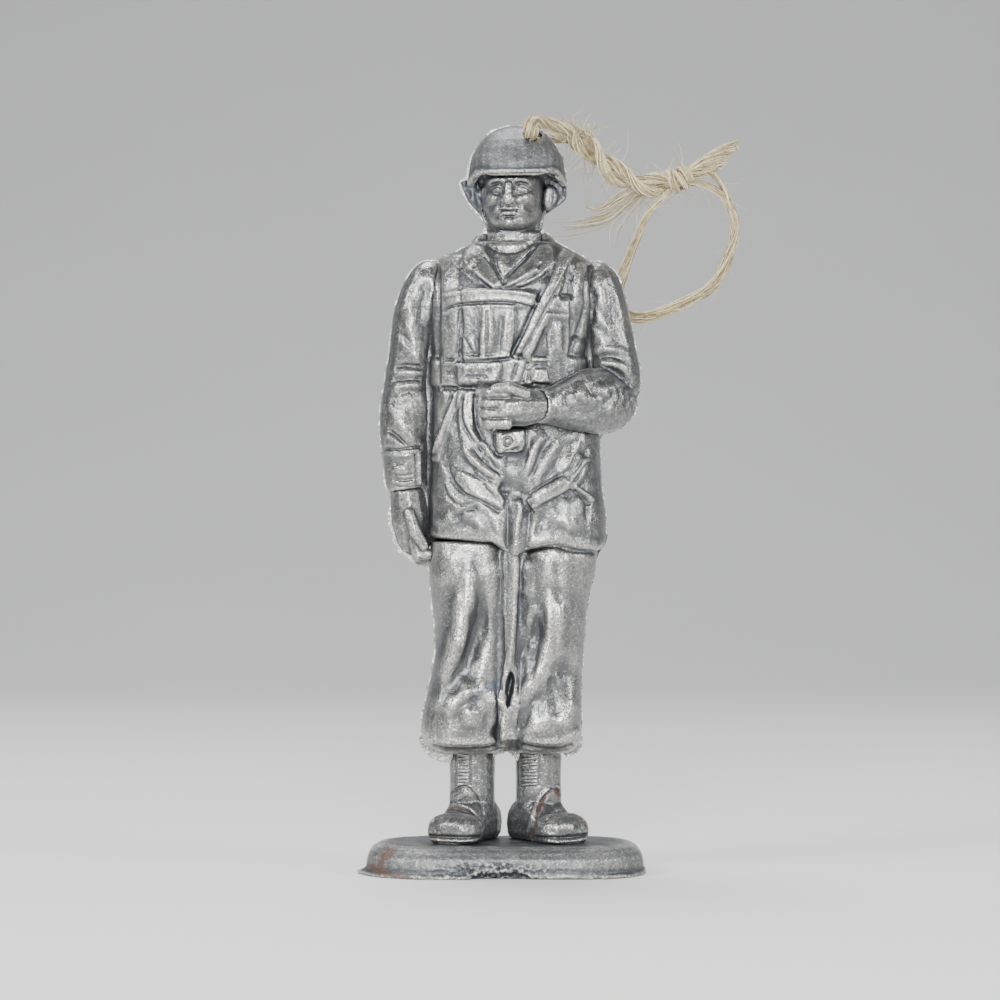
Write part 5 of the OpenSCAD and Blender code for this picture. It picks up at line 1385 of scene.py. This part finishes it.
def makeBoots():
    strokes = list(boots["strokes"])
    for left, right, top, bottom, step in boots["laces"]:
        for k, y in enumerate(np.arange(top, bottom, step)):
            lean = 0.5 if k % 2 else -0.5
            for height, width, down in ((boots["laceMm"], 1.1, 0), (boots["laceGapMm"], 1.0, 1.7)):
                strokes.append(("line", height, width, [(left, y + lean + down),
                                                        (right, y - lean + down)]))
        for x in (left - 2.5, right + 2.5):
            strokes.append(("line", boots["laceEdgeMm"], 1.2, [(x, top - 2), (x, bottom)]))
    for name in boots["nodes"]:
        skin = fusedSkin(boots, [name])
        carve(skin, strokes)
        finished(name + "_moulded", skin, boots, [name], stainedSilver)


makeBoots()

# Head and helmet. The face is a plain one of usual proportions.

head = {
    "voxelMm": 0.068,
    "rounds": 4,
    "finish": {"swellMm": 0.006, "swellSizeMm": 0.9, "grainMm": 0.003, "grainSizeMm": 0.3,
               "seed": 81},
    "chin": (0.98, 51.3),  # middle of the chin: x and z in mm
    "turnDegrees": -8.0,
    "faceMm": 4.0,  # from the chin to the rim
    "jawTaper": 0.20,
    "jawTop": 0.42,  # in shares of the face's height
    "jawFade": 0.5,
    "halfWidthMm": 2.75,
    "roundMm": 0.7,
    "relief": 1.25,
    "webRaiseMm": 0.75,
    "webWaveMm": 0.06,
    "webSeed": 85,
    # the ears and what the mould leaves beside them, in photograph pixels
    "sides": [
        ("patch", 0.38, 3.4, [(545, 189), (551, 188), (556, 191), (557, 197), (553, 205),
                              (548, 210), (544, 204)]),
        ("line", 0.16, 1.5, [(547, 190), (552, 188.5), (556.5, 192), (556.5, 198), (553, 205),
                             (548, 210)]),
        ("fold", -0.16, 1.8, [(550, 194), (551.5, 199), (549, 205)]),
        ("patch", 0.30, 3.4, [(476, 192), (484, 188), (485, 206), (486, 222), (481, 212),
                              (477, 203)]),
        ("line", 0.12, 1.5, [(475, 192), (479, 204), (484, 217)]),
    ],
    # strokes of one half, the other is its mirror: kind, height in mm, width and path in
    # shares of the face's height, across from the middle and up from the chin
    "half": [
        ("fold", 0.13, 0.050, [(0.08, 0.91), (0.24, 0.945), (0.42, 0.90)]),  # brow
        ("fold", -0.13, 0.060, [(0.11, 0.82), (0.24, 0.86), (0.40, 0.82)]),  # under the brow
        ("line", -0.10, 0.050, [(0.105, 0.79), (0.10, 0.74)]),  # inner corner
        ("fold", 0.11, 0.055, [(0.16, 0.765), (0.265, 0.775), (0.37, 0.76)]),  # eyeball
        ("line", 0.07, 0.017, [(0.14, 0.765), (0.20, 0.812), (0.27, 0.82), (0.35, 0.795),
                               (0.385, 0.76)]),  # upper lid
        ("line", -0.06, 0.016, [(0.15, 0.755), (0.21, 0.787), (0.27, 0.793), (0.34, 0.775)]),
        ("line", 0.04, 0.016, [(0.16, 0.735), (0.22, 0.712), (0.29, 0.707), (0.36, 0.73)]),
        ("fold", -0.05, 0.030, [(0.16, 0.675), (0.26, 0.655), (0.36, 0.68)]),
        ("fold", 0.10, 0.090, [(0.26, 0.585), (0.36, 0.61), (0.46, 0.67)]),  # cheekbone
        ("fold", -0.07, 0.080, [(0.34, 0.30), (0.40, 0.42), (0.42, 0.50)]),  # hollow cheek
        ("fold", 0.15, 0.034, [(0.055, 0.50), (0.09, 0.52), (0.115, 0.50)]),  # nostril's wing
        ("line", -0.12, 0.018, [(0.03, 0.462), (0.075, 0.462)]),
        ("fold", -0.07, 0.020, [(0.13, 0.53), (0.185, 0.45), (0.215, 0.36)]),  # cheek's crease
        ("fold", 0.05, 0.050, [(0.20, 0.42), (0.26, 0.36), (0.27, 0.27)]),
        ("fold", 0.07, 0.090, [(0.16, 0.05), (0.30, 0.12), (0.42, 0.26)]),  # jaw
    ],
    "middle": [
        ("line", 0.22, 0.050, [(0, 0.88), (0, 0.70), (0, 0.56)]),  # bridge
        ("fold", 0.30, 0.075, [(0, 0.60), (0, 0.53), (0, 0.46)]),  # tip
        ("fold", -0.05, 0.022, [(0, 0.44), (0, 0.37)]),
        ("fold", 0.10, 0.026, [(-0.20, 0.335), (-0.07, 0.372), (0, 0.355), (0.07, 0.372),
                               (0.20, 0.335)]),  # upper lip
        ("line", -0.13, 0.017, [(-0.21, 0.325), (-0.08, 0.330), (0, 0.322), (0.08, 0.330),
                                (0.21, 0.325)]),
        ("fold", 0.13, 0.034, [(-0.17, 0.29), (0, 0.272), (0.17, 0.29)]),  # lower lip
        ("fold", -0.10, 0.030, [(-0.14, 0.215), (0, 0.20), (0.14, 0.215)]),
        ("fold", 0.14, 0.080, [(-0.10, 0.11), (0, 0.10), (0.10, 0.11)]),  # chin
        ("fold", -0.10, 0.030, [(-0.10, 0.93), (0, 0.90), (0.10, 0.93)]),
    ],
}


def faceLift(spots):  # the face's strokes, given in its own shares, at spots in mm
    size, lift = head["faceMm"], np.zeros(len(spots))
    mirrored = [(kind, height, width, [(-u, v) for u, v in path[::-1]])
                for kind, height, width, path in head["half"]]
    for kind, height, width, path in head["half"] + mirrored + head["middle"]:
        path = [(u * size, v * size) for u, v in path]
        lift += head["relief"] * strokeLift(kind, height, width * size, path, spots)
    return lift


def makeHead():
    skin = fusedSkin(head, ["head"], finer=False)
    points = readPoints(skin)
    turn, size = math.radians(head["turnDegrees"]), head["faceMm"]
    ways = np.array([math.cos(turn), math.sin(turn)])
    across = (points[:, :2] - (head["chin"][0], 0.0)) @ ways
    up = points[:, 2] - head["chin"][1]
    # the jaw narrows to the chin, and the front of the face is rounded
    front = eased((0.2 - points[:, 1]) / 1.5)
    jaw = head["jawTaper"] * eased((head["jawTop"] * size - up) / (head["jawFade"] * size)) * front
    jaw *= eased((up + 0.5) / 0.4)
    inFace = eased((head["halfWidthMm"] - np.abs(across)) / 0.2)
    points[:, :2] -= ways * (across * jaw * inFace)[:, None]
    back = head["roundMm"] * front * inFace * (np.abs(across) / 2.5) ** 2
    points[:, 1] += back * eased((up + 0.4) / 0.4)
    writePoints(skin, points)
    normals = readNormals(skin)
    facing = normals[:, 0] * ways[1] - normals[:, 1] * ways[0]
    lift = faceLift(np.stack([across * (1 - jaw * inFace), up], 1)) * eased((facing - 0.05) / 0.4)
    writePoints(skin, points + normals * lift[:, None])
    unevenness(skin, head["finish"])
    smoothed(skin, 1)
    # the web under the helmet is uneven and reaches up to its rim
    web = eased((np.abs(across) - 2.6) / 0.25) * eased((2.2 - np.abs(points[:, 1])) / 0.5)
    raised = readPoints(skin)
    raised[:, 2] += head["webRaiseMm"] * web * eased((up - 2.1) / 1.0)
    raised[:, 1] += head["webWaveMm"] * web * waves(raised, 0.8, head["webSeed"])
    writePoints(skin, raised)
    carve(skin, head["sides"])
    # painted shade: the web under the helmet's rim gets little painted sheen
    markHollows(skin, 1 - 0.9 * web)
    # painted shade on the web, marked as a deep crease, and a painted highlight on the ear on it
    hollow = np.empty(len(points), np.float32)
    skin.attributes["hollow"].data.foreach_get("value", hollow)
    ear = strokeLift("patch", 1, 3.4, head["sides"][0][3], photoSpots(readPoints(skin)))
    hollow = hollow * (1 - web) + (0.6 - 0.9 * ear) * web
    skin.attributes["hollow"].data.foreach_set("value", hollow.astype(np.float32))
    placed("head_and_neck", skin, plainSilver, ["head"])
    print("head_and_neck", len(skin.polygons), "faces")


makeHead()

helmet = {
    "voxelMm": 0.12,
    "rounds": 16,
    "middleX": 1.0,
    "sideLiftMm": 0.55,  # the rim rises at the sides
    # the wall over the twine's hole: half its length, and its x and z at both sides of the top
    "bridge": {"halfMm": 1.7, "left": (1.5, 59.63), "right": (2.75, 59.22), "bottomZ": 58.9,
               "drop": 0.1},
    "crownMm": 0.32,  # the dome is fuller than the solid
    # how strongly the painted facing sheen shows on the helmet
    "sheenStrength": 0.35,
    "finish": {"swellMm": 0.008, "swellSizeMm": 1.6, "grainMm": 0.003, "grainSizeMm": 0.3,
               "seed": 91},
    "strokes": [
        ("line", 0.10, 1.6, [(474, 178), (483, 172.5), (500, 171), (520, 170.6), (541, 170),
                             (549, 174), (562, 181)]),
        ("line", -0.09, 1.5, [(478, 179), (485, 175), (500, 174), (520, 173.6), (541, 173),
                              (550, 177.5), (561, 184)]),
    ],
}


def overHole():  # keeps the thin wall above the twine's hole whole when the skin is fused
    wall = helmet["bridge"]
    y = np.linspace(-wall["halfMm"], wall["halfMm"], 9)
    rows = []
    for x, z in (wall["left"], wall["right"]):
        for height in (z - wall["drop"] * y ** 2, np.full(len(y), wall["bottomZ"])):
            rows.append(np.stack([np.full(len(y), x), y, height], 1))
    return prism(rows)


def makeHelmet():
    skin = fusedSkin(helmet, ["helmet"], [overHole()])
    points = readPoints(skin)
    middle = helmet["middleX"]
    side = eased((np.abs(points[:, 0] - middle) - 1.4) / 2.2)
    points[:, 2] += helmet["sideLiftMm"] * side * eased((57.4 - points[:, 2]) / 2.6)
    crown = eased((points[:, 2] - 55.9) / 1.6) * eased((60.2 - points[:, 2]) / 1.6)
    points[:, 0] += helmet["crownMm"] * crown * np.tanh((points[:, 0] - middle) / 1.2)
    writePoints(skin, points)
    carve(skin, helmet["strokes"])
    finished("helmet_shell", skin, helmet, ["helmet"], mattSilver)


makeHelmet()

# Base

base = {
    "voxelMm": 0.15,
    "rounds": 4,
    "finish": {"swellMm": 0.014, "swellSizeMm": 2.4, "grainMm": 0.004, "grainSizeMm": 0.4,
               "seed": 101},
    # how strongly the painted facing sheen shows on the base
    "sheenStrength": 0.55,
    # the gate mark on the front edge is torn, and the lip round the foot is uneven
    "tornX": -0.8,
    "tornHalfMm": 3.0,
    "tornLiftMm": 0.10,
    "lipLiftMm": 0.05,
    "roughSeed": 111,
    "stains": {
        "rust": [
            (0.95, 6.5, [(388, 848), (383, 860), (378, 871)]),
            (0.85, 4.5, [(370, 866), (388, 873), (408, 878)]),
            (0.5, 3.0, [(398, 846), (390, 852)]),
        ],
    },
}


def makeBase():
    skin = fusedSkin(base, ["base_plate"])
    points, normals = readPoints(skin), readNormals(skin)
    torn = np.exp(-((points[:, 0] - base["tornX"]) / base["tornHalfMm"]) ** 2)
    torn *= eased((-2.0 - points[:, 1]) / 1.5) * eased((1.6 - points[:, 2]) / 0.8)
    seed = base["roughSeed"]
    rough = waves(points, 0.55, seed, 30) + 0.6 * waves(points, 0.25, seed + 1, 30)
    lip = eased((0.7 - points[:, 2]) / 0.4) * (1 - np.abs(normals[:, 2]))
    lift = base["tornLiftMm"] * torn * rough
    lift += base["lipLiftMm"] * lip * waves(points, 1.3, seed + 2, 24)
    writePoints(skin, points + normals * lift[:, None])
    finished("standing_base", skin, base, ["base_plate"], mattStainedSilver)


makeBase()

# Flash: the thin fins that the mould's parting line leaves along the outline

flash = {
    "ripple": 0.35,  # in shares of a fin's width
    "ragged": 0.25,
    "raggedPx": 0.5,  # of the broad fins
    "rootPx": 4.0,  # how far a fin reaches into the figure
    "stepPx": 1.4,
    "edgeRounds": 4,
    "depthRounds": 16,
    "seed": 131,
    "bodies": ["helmet_shell", "head_and_neck", "jacket_and_webbing", "right_arm", "left_arm",
               "straight_hand", "fist", "trousers", "right_boot_moulded", "left_boot_moulded",
               "standing_base"],
    # width in mm at its middle, thickness in mm, and a path in photograph pixels that runs
    # with the figure on its right hand
    "fins": [
        (0.10, 0.16, [(486, 230), (480, 218), (473, 208), (463, 197), (460, 190), (465, 171),
                      (473, 155), (481, 145), (495, 132), (516, 127)]),
        (0.07, 0.14, [(516, 127), (535, 130), (549, 139), (558, 151), (563, 163), (567, 190)]),
        (0.07, 0.16, [(394, 322), (403, 289), (416, 269), (431, 260), (455, 250), (472, 240),
                      (485, 230)]),
        (0.08, 0.16, [(391, 503), (384, 475), (380, 437), (379, 415), (384, 387), (389, 356),
                      (394, 322)]),
        (0.20, 0.18, [(428, 575), (421, 568), (412, 565), (402, 556), (396, 540), (391, 503)]),
        (0.07, 0.16, [(543, 229), (563, 247), (592, 260), (608, 272), (620, 289), (629, 319)]),
        (0.08, 0.16, [(629, 319), (636, 345), (642, 371), (640, 388), (629, 407), (610, 426),
                      (600, 434)]),
        (0.08, 0.16, [(600, 435), (601, 462), (605, 509), (605, 538), (601, 549), (596, 557)]),
        (0.12, 0.16, [(420, 736), (423, 709), (428, 686), (435, 653), (435, 630), (430, 595),
                      (429, 575)]),
        (0.16, 0.18, [(434, 752), (426, 749), (420, 742), (420, 733)]),
        (0.08, 0.16, [(596, 560), (587, 611), (583, 640), (582, 680), (581, 720), (581, 738)]),
        (0.16, 0.18, [(581, 736), (580, 745), (573, 751)]),
    ],
    # broad fins: depth in mm, thickness in mm, outer edge and inner edge in pixels
    "wide": [
        (0.2, 0.2, [(419, 736), (420, 745), (428, 755), (438, 761), (450, 764)],
         [(428, 734), (431, 740), (438, 745), (446, 748), (456, 748)]),
        (0.2, 0.2, [(583, 736), (582, 746), (576, 753), (566, 757)],
         [(574, 734), (571, 741), (566, 746), (558, 748)]),
        (0.2, 0.2, [(493, 757), (500, 754), (507, 752), (513, 756), (518, 761)],
         [(493, 745), (500, 743), (508, 742), (515, 744), (522, 748)]),
    ],
}


def evened(values, rounds):
    for _ in range(rounds):
        values = np.convolve(np.pad(values, 1, "edge"), [0.25, 0.5, 0.25], "valid")
    return values


def outlineAt(line, ways, out, points):  # how far the figure reaches along a line, and its depth
    spots = photoSpots(points)
    edge, depth = np.full(len(line), np.nan), np.full(len(line), np.nan)
    for k, (spot, way, side) in enumerate(zip(line, ways, out)):
        off = spots - spot
        near = (np.abs(off @ way) < 2.0) & (np.abs(off @ side) < 9)
        if near.sum() >= 8:
            reach = off[near] @ side
            far = np.argsort(reach)[-8:]
            edge[k] = reach[far].max()
            depth[k] = np.median(points[near][far, 1])
    return edge, depth


def fin(outer, inner, depth, thick):  # half as thick at its outer edge
    rows = []
    for px, half in ((outer, 0.25 * thick), (inner, 0.5 * thick)):
        flat = inPlace(px, depth)
        rows += [flat - (0, half, 0), flat + (0, half, 0)]
    return prism(rows)


def makeFlash():
    dice = np.random.default_rng(flash["seed"])
    points = np.concatenate([readPoints(bpy.data.objects[n].data) for n in flash["bodies"]])
    points /= metre
    fins = []
    for k, (width, thick, path) in enumerate(flash["fins"]):
        steps = int(lineLength(np.array(path, float)) / flash["stepPx"])
        line = spaced(curved(path, 8), max(steps, 8))
        ways = np.gradient(line, axis=0)
        ways /= np.linalg.norm(ways, axis=1)[:, None]
        out = np.stack([ways[:, 1], -ways[:, 0]], 1)  # the figure lies on the right hand
        edge, depth = outlineAt(line, ways, out, points)
        known = ~np.isnan(edge)
        if known.sum() < 4:
            continue
        line, out = line[known], out[known]
        edge = evened(edge[known], flash["edgeRounds"])
        depth = evened(depth[known], flash["depthRounds"])
        share = np.linspace(0, 1, len(line))
        grow = eased(np.minimum(share, 1 - share) / 0.12)
        ragged = 1 + flash["ripple"] * np.sin(share * 40 + k)
        ragged = ragged + flash["ragged"] * dice.normal(0, 1, len(line))
        reach = edge + grow * width * ragged / photoView["pixelMm"]
        fins.append(fin(line + out * reach[:, None],
                        line + out * (edge - flash["rootPx"])[:, None], depth, thick))
    for depth, thick, outer, inner in flash["wide"]:
        outer, inner = (spaced(curved(edge, 8), 24) for edge in (outer, inner))
        outer = outer + flash["raggedPx"] * dice.normal(0, 1, outer.shape)
        fins.append(fin(outer, inner, np.full(len(outer), depth), thick))
    points, faces = joined(fins)
    mesh = bpy.data.meshes.new("moulding_flash")
    mesh.from_pydata(points.tolist(), [], faces)
    mesh.update()
    work = bmesh.new()
    work.from_mesh(mesh)
    bmesh.ops.recalc_face_normals(work, faces=work.faces)
    work.to_mesh(mesh)
    work.free()
    # the fins carry painted glints, as crests do, and the painted facing sheen, a pale rim along
    # the outline
    for name, level in (("hollow", -0.5), ("facingSheen", 0.7)):
        addLayer(mesh, name, np.full(len(mesh.vertices), level))
    piece = placed("moulding_flash", mesh, plainSilver)
    piece.data.polygons.foreach_set("use_smooth", [False] * len(piece.data.polygons))
    print("moulding_flash", len(fins), "fins")


makeFlash()

# Floor and lights


def makeStage():
    half, start, radius = (studio[k] for k in ("floorHalfMm", "sweepStartMm", "sweepRadiusMm"))
    profile = [(-half, 0.0), (start, 0.0)]
    for angle in np.linspace(0, math.pi / 2, studio["sweepSteps"])[1:]:
        profile.append((start + radius * math.sin(angle), radius * (1 - math.cos(angle))))
    profile.append((start + radius, radius + half))
    points, faces = [], []
    for y, z in profile:
        points += [(-half, y, z), (half, y, z)]
    for k in range(0, 2 * len(profile) - 2, 2):
        faces.append((k, k + 1, k + 3, k + 2))
    mesh = bpy.data.meshes.new("pale_sweep")
    mesh.from_pydata([[c * metre for c in p] for p in points], [], faces)
    mesh.polygons.foreach_set("use_smooth", [True] * len(mesh.polygons))
    mesh.materials.append(paleSurface("pale_paper", studio["floorColour"]))
    linked("pale_sweep", mesh)
    for name, (place, watts, sizeMm) in studio["lights"].items():
        lamp = bpy.data.lights.new(name, "AREA")
        lamp.energy = watts
        lamp.shape = "SQUARE"
        lamp.size = sizeMm * metre
        thing = linked(name, lamp)
        thing.location = Vector(place) * metre
        aimed(thing, studio["aim"])
    world = bpy.data.worlds.new("soft_room")
    world.use_nodes = True
    sky = world.node_tree.nodes["Background"]
    sky.inputs[0].default_value = rgb(*studio["skyColour"])
    sky.inputs[1].default_value = studio["skyStrength"]
    bpy.context.scene.world = world
    print("stage and lights placed")


makeStage()
